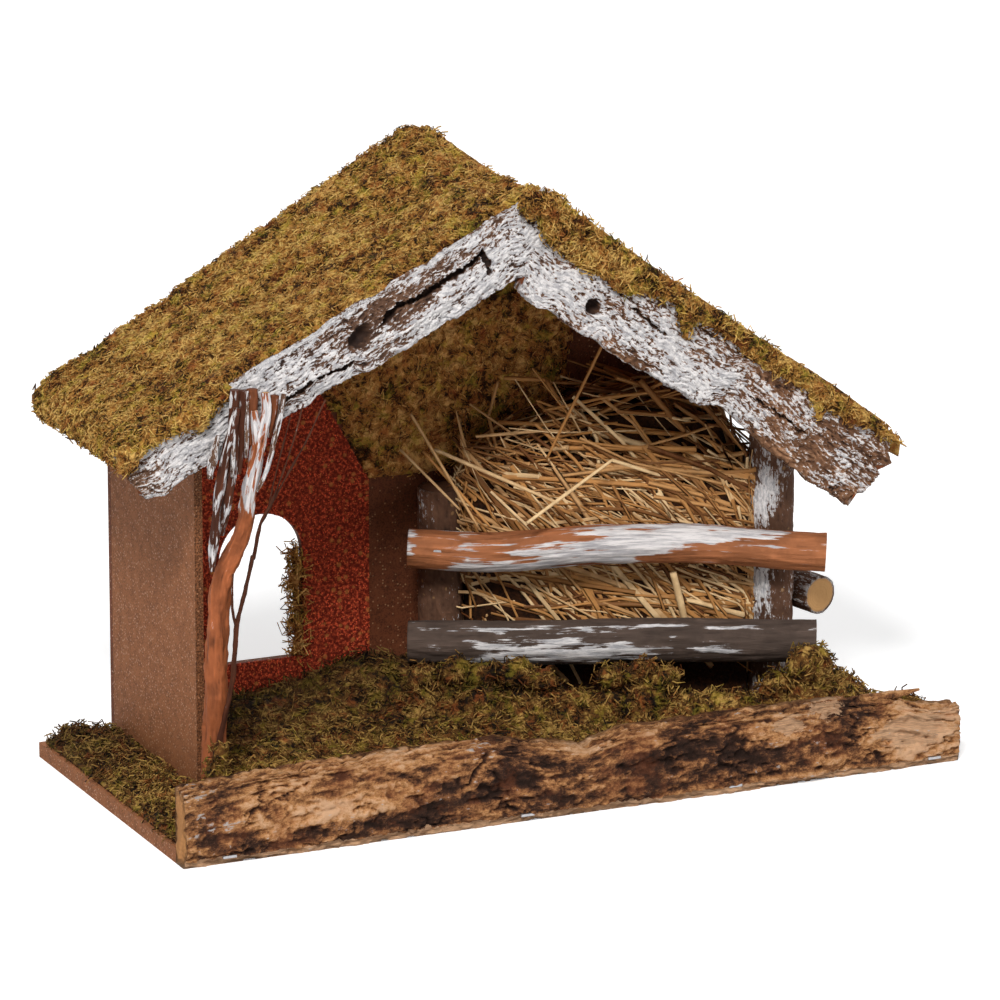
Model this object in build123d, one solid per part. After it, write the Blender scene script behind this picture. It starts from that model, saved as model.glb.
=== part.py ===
from build123d import *
import os
from math import cos, hypot, radians, sin, tan

# Wooden nativity stable: a hardboard hut with mossy roof, bark trim, a straw pen and a small twig tree.
# Frame: origin at the centre of the base board's underside, +X right, +Y to the back, +Z up, millimetres.

# Base board and the split log on its front edge
BASE_LENGTH = 300.0
BASE_DEPTH = 133.0
BASE_THICKNESS = 5.5
SLAB_THICKNESS = 10.0
SLAB_HEIGHT = 31.0

# Hardboard walls
BOARD_THICKNESS = 3.0
BUILDING_WIDTH = 244.0
LEFT_WALL_DEPTH = 80.5

# Roof boards
RIDGE_HEIGHT = 209.5
RIDGE_OFFSET = 5.0
LEFT_PITCH = 26.0
RIGHT_PITCH = 37.0
LEFT_EAVE_OVERHANG = 26.0
RIGHT_EAVE_OVERHANG = 21.0
ROOF_FRONT_OVERHANG = 13.0
ROOF_BACK_OVERHANG = 4.0

# Roof moss
ROOF_MOSS_RISE = 7.5
ROOF_MOSS_EAVE_RISE = 4.5
ROOF_MOSS_LIP = 3.5
RIGHT_MOSS_DRAPE = 5.0

# Bark planks on the roof's front edges
FASCIA_THICKNESS = 6.5
FASCIA_JOINT_GAP = 0.8
LEFT_FASCIA_REACH = 10.0
LEFT_FASCIA_RISE = 7.0
LEFT_FASCIA_EAVE_WIDTH = 20.0
LEFT_FASCIA_RIDGE_WIDTH = 23.5
LEFT_FASCIA_PAST_RIDGE = 4.0
RIGHT_FASCIA_RISE = 5.0
RIGHT_FASCIA_EAVE_WIDTH = 29.0
RIGHT_FASCIA_RIDGE_WIDTH = 33.0
FASCIA_EDGE_WAVE = 0.9

# Arched opening and the red sheet round it
ARCH_WIDTH = 33.0
ARCH_HEIGHT = 55.5
ARCH_SILL = 21.0
ARCH_FROM_WALL = 54.5
RED_SHEET_THICKNESS = 1.0
RED_SHEET_WIDTH = 97.0
RED_SHEET_ROOF_GAP = 17.5
RED_CORNER_WIDTH = 21.0
RED_CORNER_HEIGHT = 38.0

# Fence round the pen
POST_DIAMETER = 16.5
LEFT_POST_HEIGHT = 82.5
LEFT_POST_FROM_WALL = 120.0
LEFT_POST_FROM_BACK = 13.5
RIGHT_POST_INSET = 13.5
RIGHT_POST_SETBACK = 13.0
UPPER_RAIL_DIAMETER = 14.6
UPPER_RAIL_HEIGHT = 64.5
UPPER_RAIL_SWAY = 2.3
LOWER_RAIL_DIAMETER = 16.4
LOWER_RAIL_HEIGHT = 28.5
LOWER_RAIL_LIFT = 2.2
RAIL_LEFT_REACH = 11.0
UPPER_RAIL_RIGHT_REACH = 20.0
LOWER_RAIL_RIGHT_REACH = 17.0
SIDE_RAIL_DIAMETER = 14.4
SIDE_RAIL_HEIGHT = 42.5
SIDE_RAIL_REACH = 6.0
SIDE_RAIL_TURN = 14.0

# Straw and moss
STRAW_LEFT_HEIGHT = 87.0
STRAW_TOP_HEIGHT = 112.0
STRAW_SHOULDER = 74.0
STRAW_SETBACK = 14.0
STRAW_PEAK_FROM_POST = 68.0
FLOOR_MOSS_HEIGHT = 8.0
FLOOR_MOSS_EDGE = 2.0
FLOOR_MOSS_TAPER = 25.0
BACK_MOSS_THICKNESS = 4.0
BACK_MOSS_REACH = 53.0
BACK_MOSS_STEP = 20.0
ARCH_MOSS_REACH = 5.0
ARCH_MOSS_HEIGHT = 40.0

# Twig tree before the left wall's front edge
TRUNK_DIAMETER = 8.4
TRUNK_FROM_WALL_FACE = 4.6
FORK_DROP = 47.0
FORK_FORWARD = 6.5
TREE_LEAN = 0.15
TREE_TOP_RISE = 13.0
TREE_TOP_SHIFT = 14.5
TREE_BEND_SHIFT = 10.9
TREE_BEND_DROP = 11.8
CROWN_DIAMETER = 5.9
LEFT_BRANCH_DIAMETER = 4.8
TWIG_DIAMETER = 3.2
TWIG_LENGTH = 30.0
THIN_TWIG_DIAMETER = 2.2
THIN_TWIG_SIDE = 4.2
THIN_TWIG_KNEE_SIDE = 8.5
THIN_TWIG_KNEE_RISE = 26.0
THIN_TWIG_TOP_SIDE = 36.0

# Fasteners
STAPLE_CROWN = 5.0
STAPLE_WIRE = 0.9
STAPLE_LEG = 14.0
BOARD_STAPLE_LEG = 11.0
SLAB_STAPLE_PLACES = (0.055, 0.43, 0.70, 0.965)
WALL_STAPLE_PLACES = (0.2, 0.8)
BACK_STAPLE_PLACES = (-0.4, 0.0, 0.4)
NAIL_DIAMETER = 1.4
NAIL_HEAD_DIAMETER = 2.8
NAIL_HEAD_THICKNESS = 0.7
NAIL_BITE = 8.0
NAIL_SINK = 0.5

# Clearances
GLUE_GAP = 0.3
FASTENER_GAP = 0.05
DRILL_MARGIN = 4.0

# Places that follow from the sizes
BASE_FRONT = -BASE_DEPTH / 2
BASE_BACK = BASE_DEPTH / 2
BASE_TOP = BASE_THICKNESS
LEFT_OUTER = -BUILDING_WIDTH / 2
LEFT_INNER = LEFT_OUTER + BOARD_THICKNESS
RIGHT_OUTER = BUILDING_WIDTH / 2
BACK_INNER = BASE_BACK - BOARD_THICKNESS
WALL_FRONT = BACK_INNER - LEFT_WALL_DEPTH
ROOF_FRONT = WALL_FRONT - ROOF_FRONT_OVERHANG
ROOF_BACK = BASE_BACK + ROOF_BACK_OVERHANG
FASCIA_FRONT = ROOF_FRONT - FASCIA_THICKNESS
RIDGE_X = RIDGE_OFFSET
LEFT_EAVE = LEFT_OUTER - LEFT_EAVE_OVERHANG
RIGHT_EAVE = RIGHT_OUTER + RIGHT_EAVE_OVERHANG
LEFT_SIN, LEFT_COS = sin(radians(LEFT_PITCH)), cos(radians(LEFT_PITCH))
RIGHT_SIN, RIGHT_COS = sin(radians(RIGHT_PITCH)), cos(radians(RIGHT_PITCH))


def left_roof(x, lift=0.0):
    """Height of the left roof board's top face at x, raised by lift."""
    return RIDGE_HEIGHT + lift - (RIDGE_X - x) * tan(radians(LEFT_PITCH))


def right_roof(x, lift=0.0):
    """Height of the right roof board's top face at x, raised by lift."""
    return RIDGE_HEIGHT + lift - (x - RIDGE_X) * tan(radians(RIGHT_PITCH))


def left_under(x):
    """Height of the left roof board's underside at x."""
    return left_roof(x) - BOARD_THICKNESS / LEFT_COS


def right_under(x):
    """Height of the right roof board's underside at x."""
    return right_roof(x) - BOARD_THICKNESS / RIGHT_COS


def upright_prism(points, y_front, y_back):
    """Solid with an outline in X and Z, from y_front to y_back."""
    outline = Polyline(*[(x, y_front, z) for x, z in points], close=True)
    return extrude(make_face(outline), amount=y_back - y_front, dir=(0, 1, 0))


def flat_prism(points, z_low, height, taper=0.0):
    """Solid with an outline in X and Y, standing on z_low."""
    outline = Polyline(*[(x, y, z_low) for x, y in points], close=True)
    return extrude(make_face(outline), amount=height, dir=(0, 0, 1), taper=taper)


def round_stick(stations, side, stands=False):
    """Branch through (point, radius) stations; side steadies its rings, and stands makes its foot level."""
    points = [Vector(*point) for point, _ in stations]
    rings = []
    for i, (_, radius) in enumerate(stations):
        ahead = points[min(i + 1, len(points) - 1)]
        behind = points[max(i - 1, 0)]
        along = (ahead - behind).normalized()
        if stands and i == 0:
            along = Vector(0, 0, 1)
        across = Vector(*side)
        across = (across - along * across.dot(along)).normalized()
        rings.append(Plane(origin=points[i], x_dir=across, z_dir=along) * Circle(radius))
    return loft(rings, ruled=True)


def between(a, b, share):
    """Point at a share of the way from a to b."""
    return tuple(p + (q - p) * share for p, q in zip(a, b))


def nail(head, direction, length, grow=0.0, drill=0.0):
    """Round nail from its head's top along direction; grow and drill make the hole it sits in."""
    place = Plane(origin=head, z_dir=direction)
    head_length = NAIL_HEAD_THICKNESS + drill + grow
    low = (Align.CENTER, Align.CENTER, Align.MIN)
    top = Pos(0, 0, -drill) * Cylinder(NAIL_HEAD_DIAMETER / 2 + grow, head_length, align=low)
    shank = Cylinder(NAIL_DIAMETER / 2 + grow, length + grow, align=low)
    return place * (top + shank)


def staple(crown_centre, crown_axis, direction, leg, grow=0.0, drill=0.0):
    """Square-wire staple from its crown along direction; grow and drill make the slot it sits in."""
    place = Plane(origin=crown_centre, x_dir=crown_axis, z_dir=direction)
    wire = STAPLE_WIRE + 2 * grow
    low = (Align.CENTER, Align.CENTER, Align.MIN)
    span = (STAPLE_CROWN - STAPLE_WIRE) / 2
    body = Pos(0, 0, -drill) * Box(STAPLE_CROWN + 2 * grow, wire, STAPLE_WIRE + grow + drill, align=low)
    for side in (-1, 1):
        body += Pos(side * span, 0, -drill) * Box(wire, wire, leg + grow + drill, align=low)
    return place * body


def staple_slot(crown_centre, crown_axis, direction, leg):
    """The slot that one staple is driven into, open behind its crown."""
    return staple(crown_centre, crown_axis, direction, leg, FASTENER_GAP, DRILL_MARGIN)


def nail_hole(head, direction, length):
    """The hole that one nail is driven into, open behind its head."""
    return nail(head, direction, length, FASTENER_GAP, DRILL_MARGIN)


# Base board
base_board = Pos(0, 0, BASE_THICKNESS / 2) * Box(BASE_LENGTH, BASE_DEPTH, BASE_THICKNESS)

# Split log on the base's front edge: shares of its length with shares of its height
SLAB_STATIONS = (
    (0.00, 0.90), (0.10, 0.97), (0.27, 1.00), (0.39, 0.99), (0.46, 0.87), (0.51, 0.79),
    (0.56, 0.91), (0.70, 0.92), (0.83, 0.92), (0.92, 0.84), (0.955, 0.70), (1.00, 0.67),
)
SLAB_SECTION = ((0.0, 0.0), (0.80, 0.0), (1.0, 0.35), (0.92, 0.75), (0.62, 0.95), (0.0, 1.0))


def slab_section(share, height_share):
    """Closed bark section across the slab at a share of its length."""
    x = (share - 0.5) * BASE_LENGTH
    height = SLAB_HEIGHT * height_share
    ring = [(x, BASE_FRONT - out * SLAB_THICKNESS, up * height) for out, up in SLAB_SECTION]
    return make_face(Polyline(*ring, close=True))


front_bark_slab = loft([slab_section(share, height) for share, height in SLAB_STATIONS], ruled=True)

# Staples through the slab into the base's front edge, just proud of the bark
slab_face = BASE_FRONT - SLAB_SECTION[1][0] * SLAB_THICKNESS - STAPLE_WIRE
slab_staples = []
for share in SLAB_STAPLE_PLACES:
    spot = ((share - 0.5) * BASE_LENGTH, slab_face, BASE_THICKNESS / 2)
    slab_staples.append(staple(spot, (1, 0, 0), (0, 1, 0), STAPLE_LEG))
    slot = staple_slot(spot, (1, 0, 0), (0, 1, 0), STAPLE_LEG)
    front_bark_slab -= slot
    base_board -= slot

# Left wall, between the base and the left roof board
left_wall = upright_prism(
    [
        (LEFT_OUTER, BASE_TOP),
        (LEFT_INNER, BASE_TOP),
        (LEFT_INNER, left_under(LEFT_INNER)),
        (LEFT_OUTER, left_under(LEFT_OUTER)),
    ],
    WALL_FRONT,
    BACK_INNER,
)

# Back wall under both roof boards
back_wall = upright_prism(
    [
        (LEFT_OUTER, BASE_TOP),
        (RIGHT_OUTER, BASE_TOP),
        (RIGHT_OUTER, right_under(RIGHT_OUTER)),
        (RIDGE_X, right_under(RIDGE_X)),
        (RIDGE_X, left_under(RIDGE_X)),
        (LEFT_OUTER, left_under(LEFT_OUTER)),
    ],
    BACK_INNER,
    BASE_BACK,
)

# Arched opening through the back wall and the red sheet
arch_x = LEFT_INNER + ARCH_FROM_WALL
arch_low = BASE_TOP + ARCH_SILL
arch_spring = arch_low + ARCH_HEIGHT - ARCH_WIDTH / 2
arch_cut_front = BACK_INNER - RED_SHEET_THICKNESS - DRILL_MARGIN
arch_line = Polyline(
    (arch_x + ARCH_WIDTH / 2, arch_cut_front, arch_spring),
    (arch_x + ARCH_WIDTH / 2, arch_cut_front, arch_low),
    (arch_x - ARCH_WIDTH / 2, arch_cut_front, arch_low),
    (arch_x - ARCH_WIDTH / 2, arch_cut_front, arch_spring),
)
arch_crown = ThreePointArc(
    (arch_x - ARCH_WIDTH / 2, arch_cut_front, arch_spring),
    (arch_x, arch_cut_front, arch_spring + ARCH_WIDTH / 2),
    (arch_x + ARCH_WIDTH / 2, arch_cut_front, arch_spring),
)
arch_depth = BASE_BACK + DRILL_MARGIN - arch_cut_front
arch_cut = extrude(make_face([arch_line, arch_crown]), amount=arch_depth, dir=(0, 1, 0))
back_wall -= arch_cut

# Red flocked sheet on the back wall
red_left = LEFT_INNER + GLUE_GAP
red_right = LEFT_INNER + RED_SHEET_WIDTH
red_top = left_under(red_left) - RED_SHEET_ROOF_GAP
red_front = BACK_INNER - RED_SHEET_THICKNESS
red_corner = red_right - RED_CORNER_WIDTH
red_arch_panel = upright_prism(
    [
        (red_left, BASE_TOP),
        (red_right, BASE_TOP),
        (red_right, red_top - RED_CORNER_HEIGHT),
        (red_corner, red_top),
        (red_left, red_top),
    ],
    red_front,
    BACK_INNER,
)
red_arch_panel -= arch_cut

# Roof boards, square at the eaves and plumb at the ridge
left_roof_board = upright_prism(
    [
        (LEFT_EAVE, left_roof(LEFT_EAVE)),
        (RIDGE_X, RIDGE_HEIGHT),
        (RIDGE_X, left_under(RIDGE_X)),
        (LEFT_EAVE + BOARD_THICKNESS * LEFT_SIN, left_roof(LEFT_EAVE) - BOARD_THICKNESS * LEFT_COS),
    ],
    ROOF_FRONT,
    ROOF_BACK,
)
right_roof_board = upright_prism(
    [
        (RIGHT_EAVE, right_roof(RIGHT_EAVE)),
        (RIDGE_X, RIDGE_HEIGHT),
        (RIDGE_X, right_under(RIDGE_X)),
        (RIGHT_EAVE - BOARD_THICKNESS * RIGHT_SIN, right_roof(RIGHT_EAVE) - BOARD_THICKNESS * RIGHT_COS),
    ],
    ROOF_FRONT,
    ROOF_BACK,
)


# Bark planks: straight top edges, lower edges with a slow wave
def wavy_edge(start, end, wave):
    """Points strictly between start and end, pushed up and down in turn by the wave."""
    shares = (0.18, 0.34, 0.52, 0.70, 0.86)
    pushes = (1.0, -0.6, 0.7, -1.0, 0.5)
    line = [between(start, end, share) for share in shares]
    return [(x, z + wave * push) for (x, z), push in zip(line, pushes)]


left_tip = LEFT_EAVE - LEFT_FASCIA_REACH
left_tip_low = (
    left_tip + LEFT_FASCIA_EAVE_WIDTH * LEFT_SIN,
    left_roof(left_tip, LEFT_FASCIA_RISE) - LEFT_FASCIA_EAVE_WIDTH * LEFT_COS,
)
left_crown_x = RIDGE_X + LEFT_FASCIA_PAST_RIDGE
left_crown_low = (
    left_crown_x,
    left_roof(left_crown_x, LEFT_FASCIA_RISE) - LEFT_FASCIA_RIDGE_WIDTH / LEFT_COS,
)
left_fascia_low = [left_tip_low] + wavy_edge(left_tip_low, left_crown_low, FASCIA_EDGE_WAVE) + [left_crown_low]
left_fascia_outline = [
    (left_tip, left_roof(left_tip, LEFT_FASCIA_RISE)),
    *left_fascia_low,
    (RIDGE_X, left_roof(RIDGE_X, LEFT_FASCIA_RISE)),
]
left_fascia_bark = upright_prism(left_fascia_outline, FASCIA_FRONT, ROOF_FRONT)


def left_fascia_bottom(x):
    """Height of the left plank's straight lower edge at x."""
    (x0, z0), (x1, z1) = left_tip_low, left_crown_low
    return z0 + (x - x0) * (z1 - z0) / (x1 - x0)


right_tip_low = (
    RIGHT_EAVE - RIGHT_FASCIA_EAVE_WIDTH * RIGHT_SIN,
    right_roof(RIGHT_EAVE, RIGHT_FASCIA_RISE) - RIGHT_FASCIA_EAVE_WIDTH * RIGHT_COS,
)
right_ridge_low = (RIDGE_X, right_roof(RIDGE_X, RIGHT_FASCIA_RISE) - RIGHT_FASCIA_RIDGE_WIDTH / RIGHT_COS)
right_low_slope = (right_tip_low[1] - right_ridge_low[1]) / (right_tip_low[0] - right_ridge_low[0])
left_low_slope = (left_crown_low[1] - left_tip_low[1]) / (left_crown_low[0] - left_tip_low[0])
joint_drop = FASCIA_JOINT_GAP + FASCIA_EDGE_WAVE
# The right plank's upper end is cut along the left plank's lower edge
joint_run = (right_ridge_low[1] - left_fascia_bottom(RIDGE_X) + joint_drop) / (left_low_slope - right_low_slope)
right_heel = (RIDGE_X + joint_run, right_ridge_low[1] + joint_run * right_low_slope)
right_notch_x = left_crown_x + FASCIA_JOINT_GAP
right_fascia_outline = [
    right_heel,
    *wavy_edge(right_heel, right_tip_low, FASCIA_EDGE_WAVE),
    right_tip_low,
    (RIGHT_EAVE, right_roof(RIGHT_EAVE, RIGHT_FASCIA_RISE)),
    (right_notch_x, right_roof(right_notch_x, RIGHT_FASCIA_RISE)),
    (right_notch_x, left_fascia_bottom(right_notch_x) - joint_drop),
]
right_fascia_bark = upright_prism(right_fascia_outline, FASCIA_FRONT, ROOF_FRONT)

# Roof moss: mats on the boards with a rounded lip at each eave
left_lip = LEFT_EAVE - ROOF_MOSS_LIP
left_roof_moss = upright_prism(
    [
        (LEFT_EAVE, left_roof(LEFT_EAVE)),
        (left_lip, left_roof(left_lip, ROOF_MOSS_EAVE_RISE / 3)),
        (left_lip + ROOF_MOSS_LIP / 2, left_roof(left_lip + ROOF_MOSS_LIP / 2, ROOF_MOSS_EAVE_RISE)),
        (RIDGE_X, RIDGE_HEIGHT + ROOF_MOSS_RISE),
        (RIDGE_X, RIDGE_HEIGHT),
    ],
    ROOF_FRONT,
    ROOF_BACK,
)
right_lip = RIGHT_EAVE + ROOF_MOSS_LIP
right_roof_moss = upright_prism(
    [
        (RIGHT_EAVE, right_roof(RIGHT_EAVE)),
        (right_lip, right_roof(right_lip, ROOF_MOSS_EAVE_RISE / 3)),
        (right_lip - ROOF_MOSS_LIP / 2, right_roof(right_lip - ROOF_MOSS_LIP / 2, ROOF_MOSS_EAVE_RISE)),
        (RIDGE_X, RIDGE_HEIGHT + ROOF_MOSS_RISE),
        (RIDGE_X, RIDGE_HEIGHT),
    ],
    ROOF_FRONT - RIGHT_MOSS_DRAPE,
    ROOF_BACK,
)
right_roof_moss -= left_fascia_bark
right_roof_moss -= right_fascia_bark

# Moss on the upper back wall, beside and above the red sheet
back_moss_left = red_corner + GLUE_GAP
back_moss_low = red_top - RED_CORNER_HEIGHT + GLUE_GAP
back_moss_right = RIDGE_X + BACK_MOSS_REACH
back_moss_front = BACK_INNER - BACK_MOSS_THICKNESS
back_wall_moss = upright_prism(
    [
        (back_moss_left, red_top + GLUE_GAP),
        (red_right + GLUE_GAP, back_moss_low),
        (RIDGE_X + BACK_MOSS_REACH / 2, back_moss_low),
        (back_moss_right, back_moss_low + BACK_MOSS_STEP),
        (back_moss_right, right_under(back_moss_right) - GLUE_GAP),
        (RIDGE_X, min(left_under(RIDGE_X), right_under(RIDGE_X)) - GLUE_GAP),
        (back_moss_left, left_under(back_moss_left) - GLUE_GAP),
    ],
    back_moss_front,
    BACK_INNER,
)

# Moss tuft in the arch, on its right edge: shares of its reach with shares of its height
ARCH_MOSS_OUTLINE = ((0.0, 0.0), (0.0, 1.0), (0.5, 0.8), (1.0, 0.5), (0.6, 0.0))
arch_moss_right = arch_x + ARCH_WIDTH / 2 - GLUE_GAP
arch_edge_moss = upright_prism(
    [
        (arch_moss_right - ARCH_MOSS_REACH * out, arch_low + GLUE_GAP + ARCH_MOSS_HEIGHT * up)
        for out, up in ARCH_MOSS_OUTLINE
    ],
    red_front,
    BASE_BACK,
)

# Fence posts
post_radius = POST_DIAMETER / 2
left_post_at = (LEFT_INNER + LEFT_POST_FROM_WALL, BACK_INNER - LEFT_POST_FROM_BACK)
right_post_at = (RIGHT_OUTER - RIGHT_POST_INSET, WALL_FRONT + RIGHT_POST_SETBACK)
low_align = (Align.CENTER, Align.CENTER, Align.MIN)
left_fence_post = Pos(*left_post_at, BASE_TOP) * Cylinder(post_radius, LEFT_POST_HEIGHT, align=low_align)
right_corner_post = Pos(*right_post_at, BASE_TOP) * Cylinder(
    post_radius, right_under(right_post_at[0] - post_radius) - BASE_TOP, align=low_align
)
post_left_edge, post_right_edge = right_post_at[0] - POST_DIAMETER, right_post_at[0] + POST_DIAMETER
right_corner_post -= upright_prism(
    [
        (post_left_edge, right_under(post_left_edge)),
        (post_right_edge, right_under(post_right_edge)),
        (post_right_edge, RIDGE_HEIGHT),
        (post_left_edge, RIDGE_HEIGHT),
    ],
    right_post_at[1] - POST_DIAMETER,
    right_post_at[1] + POST_DIAMETER,
)

# Fence line from post to post; ahead points to the front, square to the fence
fence_span = hypot(right_post_at[0] - left_post_at[0], right_post_at[1] - left_post_at[1])
along = tuple((b - a) / fence_span for a, b in zip(left_post_at, right_post_at))
ahead = (along[1], -along[0])


def fence_point(run, out, z):
    """Point at a run along the fence from the left post and out in front of the posts' line."""
    return (
        left_post_at[0] + along[0] * run + ahead[0] * out,
        left_post_at[1] + along[1] * run + ahead[1] * out,
        z,
    )


# Rails: shares of length with shares of radius and of the sway up and down
UPPER_RAIL_STATIONS = (
    (0.0, 1.0, 0.0), (0.12, 0.99, -0.2), (0.40, 0.96, -1.0), (0.68, 0.90, 1.0), (0.83, 0.97, 1.0), (1.0, 0.95, 0.0)
)
LOWER_RAIL_STATIONS = (
    (0.0, 0.96, 0.0), (0.10, 1.0, 0.0), (0.45, 0.95, 0.2), (0.80, 1.0, 0.7), (1.0, 0.93, 1.0)
)


def rail_length(right_reach):
    """Length of a rail that ends right_reach past the corner post's axis."""
    return RAIL_LEFT_REACH + fence_span + right_reach


def rail_at(stations, diameter, height, sway, right_reach, run):
    """Axis point and radius of a rail at a run along the fence from the left post."""
    share = (run + RAIL_LEFT_REACH) / rail_length(right_reach)
    out = post_radius + GLUE_GAP + diameter / 2
    for (s0, r0, w0), (s1, r1, w1) in zip(stations, stations[1:]):
        if share <= s1:
            step = (share - s0) / (s1 - s0)
            z = BASE_TOP + height + sway * (w0 + (w1 - w0) * step)
            return fence_point(run, out, z), diameter / 2 * (r0 + (r1 - r0) * step)
    raise ValueError("run lies past the rail's end")


def make_rail(stations, diameter, height, sway, right_reach):
    """Round rail through its stations."""
    spots = []
    for share, _, _ in stations:
        run = share * rail_length(right_reach) - RAIL_LEFT_REACH
        spots.append(rail_at(stations, diameter, height, sway, right_reach, run))
    return round_stick(spots, (0, 0, 1))


upper_rail_shape = (
    UPPER_RAIL_STATIONS, UPPER_RAIL_DIAMETER, UPPER_RAIL_HEIGHT, UPPER_RAIL_SWAY, UPPER_RAIL_RIGHT_REACH
)
lower_rail_shape = (
    LOWER_RAIL_STATIONS, LOWER_RAIL_DIAMETER, LOWER_RAIL_HEIGHT, LOWER_RAIL_LIFT, LOWER_RAIL_RIGHT_REACH
)
upper_fence_rail = make_rail(*upper_rail_shape)
lower_fence_rail = make_rail(*lower_rail_shape)

# Nails through the rails into the posts
inward = (-ahead[0], -ahead[1], 0)
rail_nails = []


def nail_rail(rail, shape):
    """Drive one nail through a rail into each post; return the drilled rail and the two holes."""
    holes = []
    for run in (0.0, fence_span):
        centre, radius = rail_at(*shape, run)
        reach = radius - NAIL_SINK
        head = (centre[0] + ahead[0] * reach, centre[1] + ahead[1] * reach, centre[2])
        length = reach + shape[1] / 2 + GLUE_GAP + NAIL_BITE
        rail_nails.append(nail(head, inward, length))
        holes.append(nail_hole(head, inward, length))
        rail = rail - holes[-1]
    return rail, holes


upper_fence_rail, upper_holes = nail_rail(upper_fence_rail, upper_rail_shape)
lower_fence_rail, lower_holes = nail_rail(lower_fence_rail, lower_rail_shape)
left_fence_post -= upper_holes[0]
left_fence_post -= lower_holes[0]
right_corner_post -= upper_holes[1]
right_corner_post -= lower_holes[1]

# Side rail from in front of the corner post back to the back wall
side_radius = SIDE_RAIL_DIAMETER / 2
side_turn = radians(SIDE_RAIL_TURN)
side_axis = (-sin(side_turn), cos(side_turn), 0)
side_gap = (post_radius + GLUE_GAP + side_radius) / cos(side_turn)
side_z = BASE_TOP + SIDE_RAIL_HEIGHT


def side_rail_x(y):
    """X of the side rail's axis at y."""
    return right_post_at[0] + side_gap - (y - right_post_at[1]) * tan(side_turn)


side_start = (side_rail_x(right_post_at[1] - SIDE_RAIL_REACH), right_post_at[1] - SIDE_RAIL_REACH, side_z)
side_length = (BACK_INNER - side_start[1]) / cos(side_turn) + SIDE_RAIL_DIAMETER
side_rail = Plane(origin=side_start, z_dir=side_axis) * Cylinder(side_radius, side_length, align=low_align)
side_rail -= Pos(side_rail_x(BACK_INNER), BACK_INNER, side_z) * Box(
    4 * SIDE_RAIL_DIAMETER, 4 * SIDE_RAIL_DIAMETER, 2 * SIDE_RAIL_DIAMETER,
    align=(Align.CENTER, Align.MIN, Align.CENTER),
)

# Nails of the side rail: one into the corner post, one through the back wall into its end
side_nails = []
post_side = (-cos(side_turn), -sin(side_turn), 0)
post_nail_y = right_post_at[1] + (post_radius + side_radius) * sin(side_turn)
side_nail_head = (
    side_rail_x(post_nail_y) + cos(side_turn) * (side_radius - NAIL_SINK),
    post_nail_y + sin(side_turn) * (side_radius - NAIL_SINK),
    side_z,
)
side_nail_length = SIDE_RAIL_DIAMETER + GLUE_GAP + NAIL_BITE
wall_nail_head = (side_rail_x(BACK_INNER) - side_radius / 2, BASE_BACK - NAIL_SINK, side_z)
wall_nail_length = BOARD_THICKNESS + NAIL_BITE
for head, direction, length in (
    (side_nail_head, post_side, side_nail_length),
    (wall_nail_head, (0, -1, 0), wall_nail_length),
):
    side_nails.append(nail(head, direction, length))
    hole = nail_hole(head, direction, length)
    side_rail -= hole
    right_corner_post -= hole
    back_wall -= hole

# Straw heap: the pen's plan, drawn in towards its top and cut under the roof
straw_front = post_radius - GLUE_GAP
straw_back = back_moss_front - GLUE_GAP
straw_side = side_radius / cos(side_turn) + GLUE_GAP
straw_turn_y = right_post_at[1] + post_radius + GLUE_GAP
straw_left = left_post_at[0] + post_radius + GLUE_GAP


def straw_plan(setback):
    """Plan of the heap, with its front drawn back."""
    front_left = fence_point(post_radius + GLUE_GAP, straw_front - setback, 0)
    front_right = fence_point(fence_span - post_radius - GLUE_GAP, straw_front - setback, 0)
    return [
        (max(front_left[0], straw_left), min(front_left[1], straw_back - GLUE_GAP)),
        front_right[:2],
        (side_rail_x(straw_turn_y + setback) - straw_side, straw_turn_y + setback),
        (side_rail_x(straw_back) - straw_side, straw_back),
        (straw_left, straw_back),
    ]


def level_face(points, z):
    """Flat polygon at a height."""
    return make_face(Polyline(*[(x, y, z) for x, y in points], close=True))


straw_heap = loft(
    [
        level_face(straw_plan(0), BASE_TOP),
        level_face(straw_plan(0), BASE_TOP + STRAW_SHOULDER),
        level_face(straw_plan(STRAW_SETBACK), BASE_TOP + STRAW_TOP_HEIGHT),
    ],
    ruled=True,
)
straw_peak_x = left_post_at[0] + STRAW_PEAK_FROM_POST
straw_right = side_rail_x(straw_turn_y)
straw_heap &= upright_prism(
    [
        (straw_left, BASE_TOP),
        (straw_right, BASE_TOP),
        (straw_right, min(BASE_TOP + STRAW_TOP_HEIGHT, right_under(straw_right)) - STRAW_SETBACK),
        (straw_peak_x, BASE_TOP + STRAW_TOP_HEIGHT),
        (straw_left, BASE_TOP + STRAW_LEFT_HEIGHT),
    ],
    WALL_FRONT,
    BACK_INNER,
)
for spot in (left_post_at, right_post_at):
    straw_heap -= Pos(*spot, BASE_TOP) * Cylinder(post_radius + GLUE_GAP, RIDGE_HEIGHT, align=low_align)

# Foot of the twig tree, before the left wall's front edge
trunk_radius = TRUNK_DIAMETER / 2
trunk_foot = (LEFT_OUTER + TRUNK_FROM_WALL_FACE, WALL_FRONT - trunk_radius - GLUE_GAP)

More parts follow.
